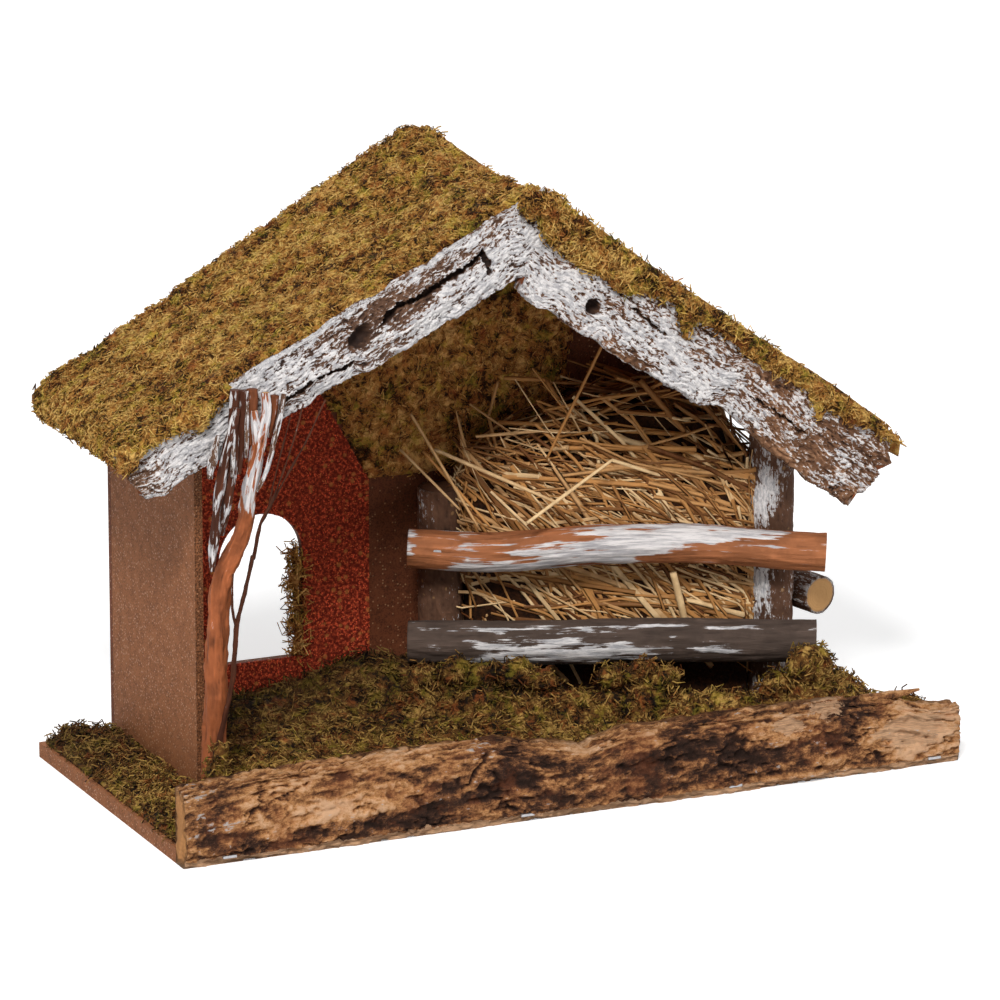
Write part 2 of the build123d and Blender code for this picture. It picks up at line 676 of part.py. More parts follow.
# Floor moss in front of the pen and in the bay
moss_front = BASE_FRONT + FLOOR_MOSS_EDGE
moss_right = BASE_LENGTH / 2 - FLOOR_MOSS_EDGE
moss_back = red_front - GLUE_GAP
pen_left = fence_point(0, straw_front + GLUE_GAP, 0)[:2]
pen_right = fence_point(fence_span - post_radius - GLUE_GAP, straw_front + GLUE_GAP, 0)[:2]
moss_pen_y = right_post_at[1] - post_radius - GLUE_GAP
floor_moss = flat_prism(
    [
        (LEFT_OUTER, moss_front),
        (moss_right, moss_front),
        (moss_right, moss_pen_y),
        (right_post_at[0], moss_pen_y),
        pen_right,
        pen_left,
        left_post_at,
        (left_post_at[0], moss_back),
        (LEFT_INNER + GLUE_GAP, moss_back),
        (LEFT_INNER + GLUE_GAP, WALL_FRONT),
        trunk_foot,
        (LEFT_OUTER, trunk_foot[1]),
    ],
    BASE_TOP,
    FLOOR_MOSS_HEIGHT,
)
left_strip_moss = flat_prism(
    [
        (-BASE_LENGTH / 2 + FLOOR_MOSS_EDGE, moss_front),
        (LEFT_OUTER - GLUE_GAP, moss_front),
        (LEFT_OUTER - GLUE_GAP, BASE_BACK - FLOOR_MOSS_EDGE),
        (-BASE_LENGTH / 2 + FLOOR_MOSS_EDGE, BASE_BACK - FLOOR_MOSS_EDGE),
    ],
    BASE_TOP,
    FLOOR_MOSS_HEIGHT,
    FLOOR_MOSS_TAPER,
)
strip_low = moss_pen_y + GLUE_GAP
right_strip_moss = flat_prism(
    [
        (right_post_at[0], strip_low),
        (moss_right, strip_low),
        (moss_right, BASE_BACK - FLOOR_MOSS_EDGE),
        (RIGHT_OUTER + GLUE_GAP, BASE_BACK - FLOOR_MOSS_EDGE),
        (RIGHT_OUTER + GLUE_GAP, straw_back),
        (side_rail_x(straw_back) - straw_side + GLUE_GAP, straw_back),
        (side_rail_x(straw_turn_y) - straw_side + GLUE_GAP, straw_turn_y),
    ],
    BASE_TOP,
    FLOOR_MOSS_HEIGHT,
)
for spot in (left_post_at, right_post_at):
    post_clear = Pos(*spot, BASE_TOP) * Cylinder(post_radius + GLUE_GAP, LEFT_POST_HEIGHT, align=low_align)
    floor_moss -= post_clear
    right_strip_moss -= post_clear

# Twig tree: trunk before the wall's front edge, leaning forward over the left plank
trunk_x, foot_y = trunk_foot
tree_top_x = trunk_x + TREE_TOP_SHIFT
tree_top_z = left_fascia_bottom(tree_top_x) + TREE_TOP_RISE
fork_z = left_fascia_bottom(trunk_x) - FORK_DROP
crown_radius = CROWN_DIAMETER / 2
crown_y = FASCIA_FRONT - crown_radius - GLUE_GAP
fork_at = (trunk_x, foot_y - FORK_FORWARD, fork_z)
bend_at = (trunk_x + TREE_BEND_SHIFT, crown_y, left_fascia_bottom(trunk_x) - TREE_BEND_DROP)
tree_trunk = round_stick(
    [
        ((trunk_x, foot_y, BASE_TOP), trunk_radius),
        (fork_at, trunk_radius),
        (between(fork_at, bend_at, 0.5), (trunk_radius + crown_radius) / 2),
        (bend_at, crown_radius),
        ((tree_top_x, crown_y, tree_top_z), crown_radius),
    ],
    (1, 0, 0),
    stands=True,
)

# Left arm of the fork, glued to the plank's front with its broken end down beside the fork
branch_radius = LEFT_BRANCH_DIAMETER / 2
branch_y = FASCIA_FRONT - branch_radius - GLUE_GAP
branch_x = trunk_x - trunk_radius - branch_radius
tree_left_branch = round_stick(
    [
        ((branch_x, branch_y, fork_z + branch_radius), branch_radius),
        ((branch_x + branch_radius, branch_y, fork_z + FORK_DROP / 2), branch_radius),
        ((trunk_x, branch_y, left_fascia_bottom(trunk_x) + TREE_TOP_RISE), branch_radius),
    ],
    (1, 0, 0),
)

# Thin twigs glued over the plank: one left of the fork's arm and one on each side of the crown
twig_radius = TWIG_DIAMETER / 2
twig_y = FASCIA_FRONT - twig_radius - GLUE_GAP
tree_twigs = []
twig_places = (
    branch_x - TWIG_DIAMETER,
    (trunk_x + tree_top_x) / 2,
    tree_top_x + crown_radius + TWIG_DIAMETER,
)
for twig_x in twig_places:
    twig_top = left_fascia_bottom(twig_x) + TREE_TOP_RISE
    tree_twigs.append(
        round_stick(
            [
                ((twig_x - twig_radius, twig_y, twig_top - TWIG_LENGTH), twig_radius),
                ((twig_x, twig_y, twig_top), twig_radius),
            ],
            (1, 0, 0),
        )
    )

# Thin dark twig beside the trunk, up to the plank's lower edge
thin_radius = THIN_TWIG_DIAMETER / 2
thin_foot = (trunk_x + THIN_TWIG_SIDE, foot_y - trunk_radius - thin_radius, BASE_TOP)
thin_y = crown_y - crown_radius - thin_radius - GLUE_GAP
thin_knee = (trunk_x + THIN_TWIG_KNEE_SIDE, thin_y, fork_z + THIN_TWIG_KNEE_RISE)
thin_top_x = trunk_x + THIN_TWIG_TOP_SIDE
thin_top_z = left_fascia_bottom(thin_top_x) + TREE_TOP_RISE / 2
thin_top = (thin_top_x, FASCIA_FRONT - thin_radius - GLUE_GAP, thin_top_z)
thin_twig = round_stick(
    [
        (thin_foot, thin_radius),
        (thin_knee, thin_radius),
        (thin_top, thin_radius / 2),
    ],
    (1, 0, 0),
    stands=True,
)
for centre, radius in (((trunk_x, foot_y), trunk_radius), (thin_foot[:2], thin_radius)):
    clear = radius + GLUE_GAP + FLOOR_MOSS_HEIGHT * TREE_LEAN
    floor_moss -= Pos(*centre, BASE_TOP) * Cylinder(clear, FLOOR_MOSS_HEIGHT, align=low_align)

# Staples through the base into the two walls' lower edges
base_staples = []
wall_middle = (LEFT_OUTER + LEFT_INNER) / 2
back_middle = (BACK_INNER + BASE_BACK) / 2
base_spots = [
    ((wall_middle, WALL_FRONT + LEFT_WALL_DEPTH * share, 0), (0, 1, 0)) for share in WALL_STAPLE_PLACES
]
base_spots += [((BUILDING_WIDTH * share, back_middle, 0), (1, 0, 0)) for share in BACK_STAPLE_PLACES]
for spot, crown in base_spots:
    base_staples.append(staple(spot, crown, (0, 0, 1), BOARD_STAPLE_LEG))
    slot = staple_slot(spot, crown, (0, 0, 1), BOARD_STAPLE_LEG)
    base_board -= slot
    left_wall -= slot
    back_wall -= slot

# Staples through the back wall into the left wall's rear edge
wall_staples = []
for share in WALL_STAPLE_PLACES:
    spot = (wall_middle, BASE_BACK, BASE_TOP + (left_under(LEFT_OUTER) - BASE_TOP) * share)
    wall_staples.append(staple(spot, (0, 0, 1), (0, -1, 0), BOARD_STAPLE_LEG))
    slot = staple_slot(spot, (0, 0, 1), (0, -1, 0), BOARD_STAPLE_LEG)
    back_wall -= slot
    left_wall -= slot

# Staples through the roof boards into the walls' upper edges, sunk under the moss
roof_staples = []
staple_half = STAPLE_CROWN / 2
roof_spots = [
    ((wall_middle, WALL_FRONT + LEFT_WALL_DEPTH * share), (0, 1, 0), left_roof(wall_middle - STAPLE_WIRE))
    for share in WALL_STAPLE_PLACES
]
for x in (LEFT_OUTER / 2, RIGHT_OUTER / 2):
    lower = left_roof(x - staple_half) if x < RIDGE_X else right_roof(x + staple_half)
    roof_spots.append(((x, back_middle), (1, 0, 0), lower))
for (x, y), crown, top in roof_spots:
    spot = (x, y, top - FASTENER_GAP)
    roof_staples.append(staple(spot, crown, (0, 0, -1), BOARD_STAPLE_LEG))
    slot = staple_slot(spot, crown, (0, 0, -1), BOARD_STAPLE_LEG)
    left_roof_board -= slot
    right_roof_board -= slot
    left_wall -= slot
    back_wall -= slot

# Nails through the base into the posts' feet
post_nails = []
for spot in (left_post_at, right_post_at):
    head = (*spot, 0)
    length = BASE_THICKNESS + NAIL_BITE
    post_nails.append(nail(head, (0, 0, 1), length))
    hole = nail_hole(head, (0, 0, 1), length)
    base_board -= hole
    left_fence_post -= hole
    right_corner_post -= hole

nodes = {
    "base_board": base_board,
    "front_bark_slab": front_bark_slab,
    "slab_staples": Compound(slab_staples),
    "left_wall": left_wall,
    "back_wall": back_wall,
    "red_arch_panel": red_arch_panel,
    "left_roof_board": left_roof_board,
    "right_roof_board": right_roof_board,
    "left_roof_moss": left_roof_moss,
    "right_roof_moss": right_roof_moss,
    "left_fascia_bark": left_fascia_bark,
    "right_fascia_bark": right_fascia_bark,
    "left_fence_post": left_fence_post,
    "right_corner_post": right_corner_post,
    "upper_fence_rail": upper_fence_rail,
    "lower_fence_rail": lower_fence_rail,
    "side_rail": side_rail,
    "rail_nails": Compound(rail_nails),
    "side_rail_nails": Compound(side_nails),
    "post_nails": Compound(post_nails),
    "straw_heap": straw_heap,
    "floor_moss": floor_moss,
    "left_strip_moss": left_strip_moss,
    "right_strip_moss": right_strip_moss,
    "back_wall_moss": back_wall_moss,
    "arch_edge_moss": arch_edge_moss,
    "tree_trunk": tree_trunk,
    "tree_left_branch": tree_left_branch,
    "tree_twigs": Compound(tree_twigs),
    "thin_dark_twig": thin_twig,
    "base_staples": Compound(base_staples),
    "wall_staples": Compound(wall_staples),
    "roof_staples": Compound(roof_staples),
}

os.makedirs("parts", exist_ok=True)
for name, shape in nodes.items():
    export_step(shape, f"parts/{name}.step")
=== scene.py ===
"""Dressing of a small wooden nativity stable: bark, moss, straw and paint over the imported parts."""
import itertools
import math

import bmesh
import bpy
import numpy as np
from bpy.props import FloatProperty, FloatVectorProperty, PointerProperty
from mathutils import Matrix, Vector

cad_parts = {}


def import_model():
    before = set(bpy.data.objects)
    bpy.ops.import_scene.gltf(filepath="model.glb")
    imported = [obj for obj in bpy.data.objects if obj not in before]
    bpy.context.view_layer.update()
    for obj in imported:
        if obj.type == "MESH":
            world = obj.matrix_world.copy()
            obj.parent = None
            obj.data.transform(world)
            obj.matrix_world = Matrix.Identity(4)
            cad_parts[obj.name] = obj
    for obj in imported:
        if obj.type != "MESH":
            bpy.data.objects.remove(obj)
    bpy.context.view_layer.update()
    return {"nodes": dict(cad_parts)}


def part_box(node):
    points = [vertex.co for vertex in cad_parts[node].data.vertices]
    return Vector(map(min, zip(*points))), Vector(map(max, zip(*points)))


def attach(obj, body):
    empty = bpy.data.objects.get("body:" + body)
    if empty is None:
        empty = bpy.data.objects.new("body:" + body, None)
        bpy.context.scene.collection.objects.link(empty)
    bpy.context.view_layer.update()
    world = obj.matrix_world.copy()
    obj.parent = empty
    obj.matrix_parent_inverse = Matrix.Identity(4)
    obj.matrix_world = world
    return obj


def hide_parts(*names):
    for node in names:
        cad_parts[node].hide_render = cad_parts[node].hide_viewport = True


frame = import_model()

bl_info = {
    "name": "Nativity stable dressing",
    "version": (1, 0, 0),
    "blender": (4, 5, 0),
    "location": "View3D > Sidebar > Stable",
    "description": "Bark, moss, straw and paint for a small wooden nativity stable",
    "category": "Object",
}

BODY = "root"
MM = 0.001
RELIEF_LEVEL = 0.7
GLUE_GAP = 0.3
CELL_SWAY = 1.4
LOWEST_STRAND = 0.4

# Slopes of the two roof boards, and how far moss and fascias rise over them in millimetres
LEFT_SLOPE = math.tan(math.radians(26))
RIGHT_SLOPE = math.tan(math.radians(37))
LEFT_MOSS_RIDGE = 7.5
LEFT_MOSS_EAVE = 4.5
RIGHT_MOSS_RISE = 7.5
LEFT_FASCIA_RISE = 7
RIGHT_FASCIA_RISE = 5
RIDGE_WEAR = 4.5
BACK_SWELL = 8


def node_box(name):
    """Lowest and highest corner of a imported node, in millimetres."""
    low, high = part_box(name)
    return np.array(low) / MM, np.array(high) / MM


def node_corner(name, x, z):
    """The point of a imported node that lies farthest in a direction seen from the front, in millimetres."""
    mesh = frame["nodes"][name].data
    points = np.empty(len(mesh.vertices) * 3)
    mesh.vertices.foreach_get("co", points)
    points = points.reshape(-1, 3)
    return points[np.argmax(points @ np.array([x, 0, z]))] / MM


def fence_axes():
    """Left post's foot, the fence's ways along and ahead, its reach and the posts' radius."""
    left_low, left_high = node_box("left_fence_post")
    right_low, right_high = node_box("right_corner_post")
    left = (left_low + left_high)[:2] / 2
    right = (right_low + right_high)[:2] / 2
    reach = np.hypot(*(right - left))
    along = (right - left) / reach
    return left, along, np.array([along[1], -along[0]]), reach, (left_high[0] - left_low[0]) / 2


def tone(red, green, blue):
    """Linear colour from the usual 0 to 255 steps."""
    steps = [value / 255 for value in (red, green, blue)]
    return tuple(v / 12.92 if v <= 0.04045 else ((v + 0.055) / 1.055) ** 2.4 for v in steps)


def scaled(shade, factor):
    """A colour times one factor, or one for each channel, up to full brightness."""
    factors = factor if isinstance(factor, tuple) else (factor,) * 3
    return tuple(min(1, part * value) for part, value in zip(factors, shade))


def colour(name, description, red, green, blue):
    """A colour that the user can change."""
    limits = {"default": tone(red, green, blue), "min": 0, "max": 1}
    return FloatVectorProperty(name=name, description=description, size=3, subtype="COLOR", **limits)


def length(name, description, millimetres):
    """A size that the user can change."""
    limits = {"default": millimetres * MM, "min": 0}
    return FloatProperty(name=name, description=description, unit="LENGTH", **limits)


class StableSizes(bpy.types.PropertyGroup):
    """Sizes of the rough skins, the strands and the stalks."""

    slab_relief: length("Slab relief", "Depth of the cracks in the front slab's bark", 2.6)
    fascia_relief: length("Fascia relief", "Depth of the furrows in the fascia bark", 2.4)
    post_relief: length("Post relief", "Depth of the cracks in the posts' bark", 1.4)
    rail_relief: length("Rail relief", "Depth of the marks in the fence rails", 1.3)
    twig_relief: length("Twig relief", "Depth of the marks in the tree's bark", 1)
    roof_strand: length("Roof strand", "Length of a strand of the roof moss", 3)
    floor_strand: length("Floor strand", "Length of a strand of the floor moss", 4)
    strand_radius: length("Strand radius", "Half the width of a moss strand", 0.24)
    stalk_length: length("Stalk length", "Length of a straw stalk", 64)
    stalk_radius: length("Stalk radius", "Half the width of a straw stalk", 0.85)


class StableColours(bpy.types.PropertyGroup):
    """Colours of the paints, barks, moss and straw."""

    board_brown: colour("Board brown", "Paint on the boards", 156, 100, 64)
    board_bronze: colour("Board bronze", "Glitter in the boards' paint", 214, 160, 116)
    red_deep: colour("Deep red", "Ground of the flocked sheet", 150, 48, 28)
    red_gold: colour("Red's gold", "Gold specks on the flocked sheet", 196, 126, 66)
    # The bark's crack colour is partly the bark's own colour and partly painted shade in the furrows
    bark_crack: colour("Bark crack", "Bottom of the bark's furrows", 44, 32, 28)
    bark_middle: colour("Bark middle", "Main colour of the fascia bark", 114, 82, 62)
    bark_ridge: colour("Bark ridge", "Ridges of the fascia bark", 172, 132, 102)
    white_paint: colour("White paint", "Dry-brushed paint", 230, 226, 224)
    slab_tan: colour("Slab tan", "Light bark of the front slab", 196, 140, 88)
    slab_brown: colour("Slab brown", "Main bark of the front slab", 138, 90, 56)
    slab_dark: colour("Slab dark", "Burnt patches and cracks of the front slab", 66, 42, 30)
    slab_bare: colour("Slab bare wood", "Bare wood on the front slab", 226, 180, 140)
    slab_rust: colour("Slab rust", "Reddish bark of the front slab", 150, 84, 50)
    post_bark: colour("Post bark", "Bark of the posts", 92, 64, 48)
    rail_bark: colour("Rail bark", "Bark of the lower rail", 82, 68, 60)
    rail_wood: colour("Rail wood", "Stripped wood of the upper rail", 158, 98, 62)
    cut_wood: colour("Cut wood", "Sawn ends", 206, 158, 104)
    trunk_red: colour("Trunk red", "Bark of the little tree", 160, 90, 53)
    trunk_dark: colour("Trunk dark", "Dark streaks of the little tree", 74, 38, 22)
    # The dark roof moss colour is partly the moss's own colour and partly painted shade in the gaps between
    # strands
    roof_moss_dark: colour("Roof moss dark", "Depth of the roof moss", 50, 30, 12)
    roof_moss_olive: colour("Roof moss olive", "Main colour of the roof moss", 175, 123, 57)
    roof_moss_light: colour("Roof moss light", "Pale strands of the roof moss", 228, 186, 106)
    roof_moss_rust: colour("Roof moss rust", "Brown strands of the roof moss", 170, 92, 44)
    # The dark floor moss colour is partly the moss's own colour and partly painted shade in the gaps between
    # strands
    floor_moss_dark: colour("Floor moss dark", "Depth of the floor moss", 24, 14, 6)
    floor_moss_olive: colour("Floor moss olive", "Main colour of the floor moss", 105, 70, 31)
    floor_moss_light: colour("Floor moss light", "Pale strands of the floor moss", 192, 152, 82)
    straw_gold: colour("Straw gold", "Main colour of the straw", 190, 134, 76)
    straw_pale: colour("Straw pale", "Pale stalks", 236, 202, 152)
    straw_brown: colour("Straw brown", "Dark stalks", 96, 54, 24)
    steel: colour("Steel", "Staples and nails", 196, 196, 198)
    floor_white: colour("Floor white", "Floor of the stage", 240, 240, 240)


# Noise on arrays of points

def steps(value, low, high):
    """Smooth step from 0 at low to 1 at high."""
    share = np.clip((value - low) / (high - low), 0, 1)
    return share * share * (3 - 2 * share)


def mound(value, middle, half):
    """Smooth hump of height 1 round a middle."""
    return np.exp(-(((value - middle) / half) ** 2))


def lattice(cell_x, cell_y, cell_z, seed):
    """Repeatable value from 0 to 1 for each whole-number cell."""
    mask = 0xFFFFFFFF
    mixed = (cell_x * 374761393 + cell_y * 668265263 + cell_z * 1440662683 + seed * 974634777) & mask
    mixed = ((mixed ^ (mixed >> 13)) * 1274126177) & mask
    return ((mixed ^ (mixed >> 16)) & 0xFFFF) / 65535.0


def soft_noise(points, seed):
    """Smooth noise from 0 to 1 at points measured in cells."""
    cell = np.floor(points).astype(np.int64)
    part = points - cell
    part = part * part * (3 - 2 * part)
    total = np.zeros(points.shape[:-1])
    for corner in itertools.product((0, 1), repeat=3):
        weights = [part[..., k] if corner[k] else 1 - part[..., k] for k in range(3)]
        total += math.prod(weights) * lattice(*(cell[..., k] + corner[k] for k in range(3)), seed)
    return total


def rough_noise(points, seed, octaves=4):
    """Sum of finer and finer noise, from 0 to 1."""
    total = np.zeros(points.shape[:-1])
    reach = 0
    for level in range(octaves):
        share = 0.5 ** level
        total += share * soft_noise(points * 2 ** level, seed + level)
        reach += share
    return total / reach


def grain_noise(grain, long, wide, seed, octaves):
    """Noise in cells that are long along the grain."""
    return rough_noise(grain / np.array([long, wide, wide]), seed, octaves)


def bent_cells(grain, long, wide, seed):
    """Grain coordinates in cells, bent so that patterns meander."""
    cells = grain / np.array([long, wide, wide])
    shift = [rough_noise(cells * 0.8 + k * 17.3, seed + k, 3) - 0.5 for k in range(3)]
    return cells + CELL_SWAY * stacked(*shift)


def crack_lines(cells, seed, width):
    """Meandering cracks: 0 on the line, 1 beside it."""
    return steps(np.abs(rough_noise(cells, seed, 3) - 0.5), 0, width)


def furrows(grain, long, wide, seed):
    """Furrowed bark from 0 in the cracks to 1 on the ridges, stretched along the grain."""
    cells = bent_cells(grain, long, wide, seed)
    deep = crack_lines(cells, seed, 0.085)
    fine = crack_lines(cells * 2.6 + 5, seed + 20, 0.11)
    streak = rough_noise(cells * np.array([2, 3.6, 3.6]), seed + 30, 3)
    grit = rough_noise(cells * np.array([3.4, 2.4, 2.4]), seed + 7, 4)
    lumps = rough_noise(cells * 0.35, seed + 11, 2)
    bark = 0.3 * deep + 0.16 * fine + 0.4 * streak + 0.3 * grit + 0.5 * (lumps - 0.5) - 0.08
    return np.clip(bark, 0, 1)


def mat_lumps(x, y, level, seed, *layers, middle=0):
    """Lumps over a plan: the sum of noises, each with its weight and the size of its cells."""
    spots = stacked(x, y, level)
    noises = [rough_noise(spots / cell, seed + 10 * k, 4 - 2 * k) for k, (_, cell) in enumerate(layers)]
    return sum(weight * (noise - middle) for (weight, _), noise in zip(layers, noises))


def line_gap(x, z, line):
    """Distance from points to a drawn line of stations."""
    gap = np.full(x.shape, 1e9)
    for (ax, az), (bx, bz) in zip(line, line[1:]):
        reach = max((bx - ax) ** 2 + (bz - az) ** 2, 1e-9)
        share = np.clip(((x - ax) * (bx - ax) + (z - az) * (bz - az)) / reach, 0, 1)
        gap = np.minimum(gap, np.hypot(x - ax - share * (bx - ax), z - az - share * (bz - az)))
    return gap


def stacked(*parts):
    """Coordinates from arrays that are spread over their common shape."""
    return np.stack(np.broadcast_arrays(*parts), axis=-1)


def run_along(line):
    """Distance along a line at each of its points."""
    return np.concatenate([[0], np.cumsum(np.linalg.norm(np.diff(line, axis=0), axis=1))])


# Shapes

def smooth_run(stations, count):
    """Smooth run of count points through given stations."""
    points = np.asarray(stations, float)
    padded = np.vstack([2 * points[0] - points[1], points, 2 * points[-1] - points[-2]])
    spots = np.linspace(0, len(points) - 1, count)
    first = np.minimum(spots.astype(int), len(points) - 2)
    t = (spots - first)[:, None]
    a, b, c, d = (padded[first + k] for k in range(4))
    return 0.5 * (2 * b + (c - a) * t + (2 * a - 5 * b + 4 * c - d) * t**2 + (3 * b - a - 3 * c + d) * t**3)


def linked(name, mesh, material):
    """A new object with its mesh and its only material."""
    mesh.materials.clear()
    mesh.materials.append(material)
    piece = bpy.data.objects.new(name, mesh)
    bpy.context.collection.objects.link(piece)
    return piece


def finish_piece(piece, slot, *nodes):
    """Fixes a finished piece to the body and hides the nodes it stands for; its slot is not used."""
    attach(piece, BODY)
    if nodes:
        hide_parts(*nodes)


class Shell:
    """Points, faces and marks of several closed shells that make one piece."""

    def __init__(self):
        self.points = []
        self.faces = []
        self.marks = {}
        self.count = 0

    def add(self, points, faces, marks):
        """Takes in one more closed shell."""
        points = np.asarray(points).reshape(-1, 3)
        self.points.append(points)
        self.faces.extend(tuple(self.count + index for index in face) for face in faces)
        for label, values in marks.items():
            self.marks.setdefault(label, []).append(values)
        self.count += len(points)

    def piece(self, name, material):
        """The finished object, with named marks for its material and outward faces."""
        mesh = bpy.data.meshes.new(name)
        points = np.concatenate(self.points)
        points[:, 2] = np.maximum(points[:, 2], 0)
        mesh.from_pydata((points * MM).tolist(), [], self.faces)
        for label, values in self.marks.items():
            values = np.concatenate(values).astype(np.float32)
            kind, field = ("FLOAT_VECTOR", "vector") if values.ndim == 2 else ("FLOAT", "value")
            mesh.attributes.new(label, kind, "POINT").data.foreach_set(field, values.ravel())
        shell = bmesh.new()
        shell.from_mesh(mesh)
        bmesh.ops.recalc_face_normals(shell, faces=shell.faces)
        shell.to_mesh(mesh)
        shell.free()
        mesh.polygons.foreach_set("use_smooth", [True] * len(mesh.polygons))
        return linked(name, mesh, material)


def tube_faces(rows, columns):
    """Quads between the rows of a closed tube."""
    faces = []
    for row in range(rows - 1):
        for column in range(columns):
            after = (column + 1) % columns
            start = row * columns
            faces.append((start + column, start + after, start + columns + after, start + columns + column))
    return faces


def skin_shell(shell, rings, grain, relief, depth, marks, cap_rows=5, cap_rough=0.25):
    """Adds a closed skin through rings of points, moved by its relief, with flat rough ends."""
    rows, columns = rings.shape[:2]
    across = np.roll(rings, -1, axis=1) - np.roll(rings, 1, axis=1)
    normal = np.cross(across, np.gradient(rings, axis=0))
    normal /= np.maximum(np.linalg.norm(normal, axis=2, keepdims=True), 1e-9)
    if ((rings - rings.mean(axis=1, keepdims=True)) * normal).sum() < 0:
        normal = -normal
    skin = rings + normal * ((relief - RELIEF_LEVEL) * depth)[..., None]
    points = [skin.reshape(-1, 3)]
    faces = tube_faces(rows, columns)
    values = {"relief": [relief.ravel()], "cut": [np.zeros(rows * columns)], "grain": [grain.reshape(-1, 3)]}
    for label, field in marks.items():
        values[label] = [field.ravel()]
    count = rows * columns
    for row in (0, rows - 1):
        rim = skin[row]
        middle = rim.mean(axis=0)
        ends = np.cross(rim[0] - middle, rim[columns // 4] - middle)
        ends /= np.linalg.norm(ends)
        outer = [row * columns + column for column in range(columns)]
        for level in range(1, cap_rows + 1):
            share = 1 - level / cap_rows
            ring = middle + (rim - middle) * share if share > 0 else middle[None]
            bumps = soft_noise(ring * 0.9, 5)[:, None] - 0.5
            points.append(ring + ends * bumps * cap_rough)
            size = len(ring)
            values["relief"].append(np.full(size, 0.8))
            values["cut"].append(np.ones(size))
            values["grain"].append(np.column_stack([np.full(size, share * 9), np.zeros((size, 2))]))
            for label, field in marks.items():
                values[label].append(np.full(size, field[row].mean()))
            inner = [count + (column if share > 0 else 0) for column in range(columns)]
            for column in range(columns):
                after = (column + 1) % columns
                corners = (outer[column], outer[after], inner[after], inner[column])
                faces.append(corners if share > 0 else corners[:3])
            outer = inner
            count += size
    marks = {label: np.concatenate(parts) for label, parts in values.items()}
    shell.add(np.concatenate(points), faces, marks)


def stick_rings(stations, radii, step, columns, up):
    """Rings of a round stick through stations, with their run along it and their place round it."""
    stations = np.asarray(stations, float)
    rows = max(int(run_along(stations)[-1] / step), 8)
    spine = smooth_run(stations, rows)
    radius = np.interp(np.linspace(0, 1, rows), np.linspace(0, 1, len(radii)), radii)
    ahead = np.gradient(spine, axis=0)
    ahead /= np.linalg.norm(ahead, axis=1, keepdims=True)
    side = np.cross(ahead, np.broadcast_to(np.array(up, float), ahead.shape))
    side /= np.linalg.norm(side, axis=1, keepdims=True)
    over = np.cross(side, ahead)
    turn = np.linspace(0, 2 * math.pi, columns, endpoint=False)
    across = radius[:, None] * np.cos(turn)
    upward = radius[:, None] * np.sin(turn)
    rings = spine[:, None] + side[:, None] * across[..., None] + over[:, None] * upward[..., None]
    return rings, stacked(run_along(spine)[:, None], across, upward)


def plank_rings(low_line, top_line, front, back, step):
    """Rings of a bark plank between a lower and an upper line, with rounded edges."""
    width = np.linalg.norm(top_line - low_line, axis=1)
    face = int(width.max() / step)
    rear = face // 3
    edge = int((back - front) / step)
    up, down = np.linspace(0.04, 0.96, face), np.linspace(0.96, 0.04, rear)
    over, under = np.linspace(0.12, 0.88, edge), np.linspace(0.88, 0.12, edge)
    share = np.concatenate([up, np.ones(edge), down, np.zeros(edge)])
    depth = np.concatenate([np.zeros(face), over, np.ones(rear), under])
    crown = np.sin(share * math.pi) ** 0.6
    y = front + depth * (back - front) + np.where(depth == 0, 1.2 * (1 - crown), 0)
    rings = low_line[:, None] + (top_line - low_line)[:, None] * share[None, :, None]
    rings[..., 1] = y[None]
    return rings, stacked(run_along(low_line)[:, None], share * width[:, None], y)


def moss_marks(points, grow):
    """Marks of the mat under the strands: where strands grow, and a tone of its own."""
    return {
        "grow": grow,
        "tone": rough_noise(points / 2.4, 77, 3),
        "tip": 0.12 + 0.55 * rough_noise(points / 1.7, 78, 2),
    }


def lump_shell(shell, middle, half, seed, rows=8, columns=14):
    """Adds a lumpy clump of moss as one closed shell."""
    shares = np.linspace(0, math.pi, rows + 2)[1:-1, None]
    turns = np.linspace(0, 2 * math.pi, columns, endpoint=False)
    grid = stacked(np.sin(shares) * np.cos(turns), np.sin(shares) * np.sin(turns), np.cos(shares))
    grid = np.vstack([grid.reshape(-1, 3), [[0, 0, 1], [0, 0, -1]]])
    swell = 0.75 + 0.5 * rough_noise(grid * 1.3 + seed * 3.7, seed, 3)
    points = np.asarray(middle) + grid * swell[:, None] * np.asarray(half)
    faces = tube_faces(rows, columns)
    last = (rows - 1) * columns
    top, low = rows * columns, rows * columns + 1
    for column in range(columns):
        after = (column + 1) % columns
        faces.append((column, after, top))
        faces.append((last + after, last + column, low))
    shell.add(points, faces, moss_marks(points, np.ones(len(points))))


def edge_gap(outline, holes, x, y):
    """Distance to the border of a plan outline with round holes, positive inside."""
    inside = np.zeros(x.shape, bool)
    for (ax, ay), (bx, by) in zip(outline, np.roll(outline, -1, axis=0)):
        across = (ay > y) != (by > y)
        rise = by - ay if abs(by - ay) > 1e-9 else 1e-9
        inside ^= across & (x < (bx - ax) * (y - ay) / rise + ax)
    gap = line_gap(x, y, np.vstack([outline, outline[:1]]))
    gap = np.where(inside, gap, -gap)
    for hole_x, hole_y, radius in holes:
        gap = np.minimum(gap, np.hypot(x - hole_x, y - hole_y) - radius)
    return gap


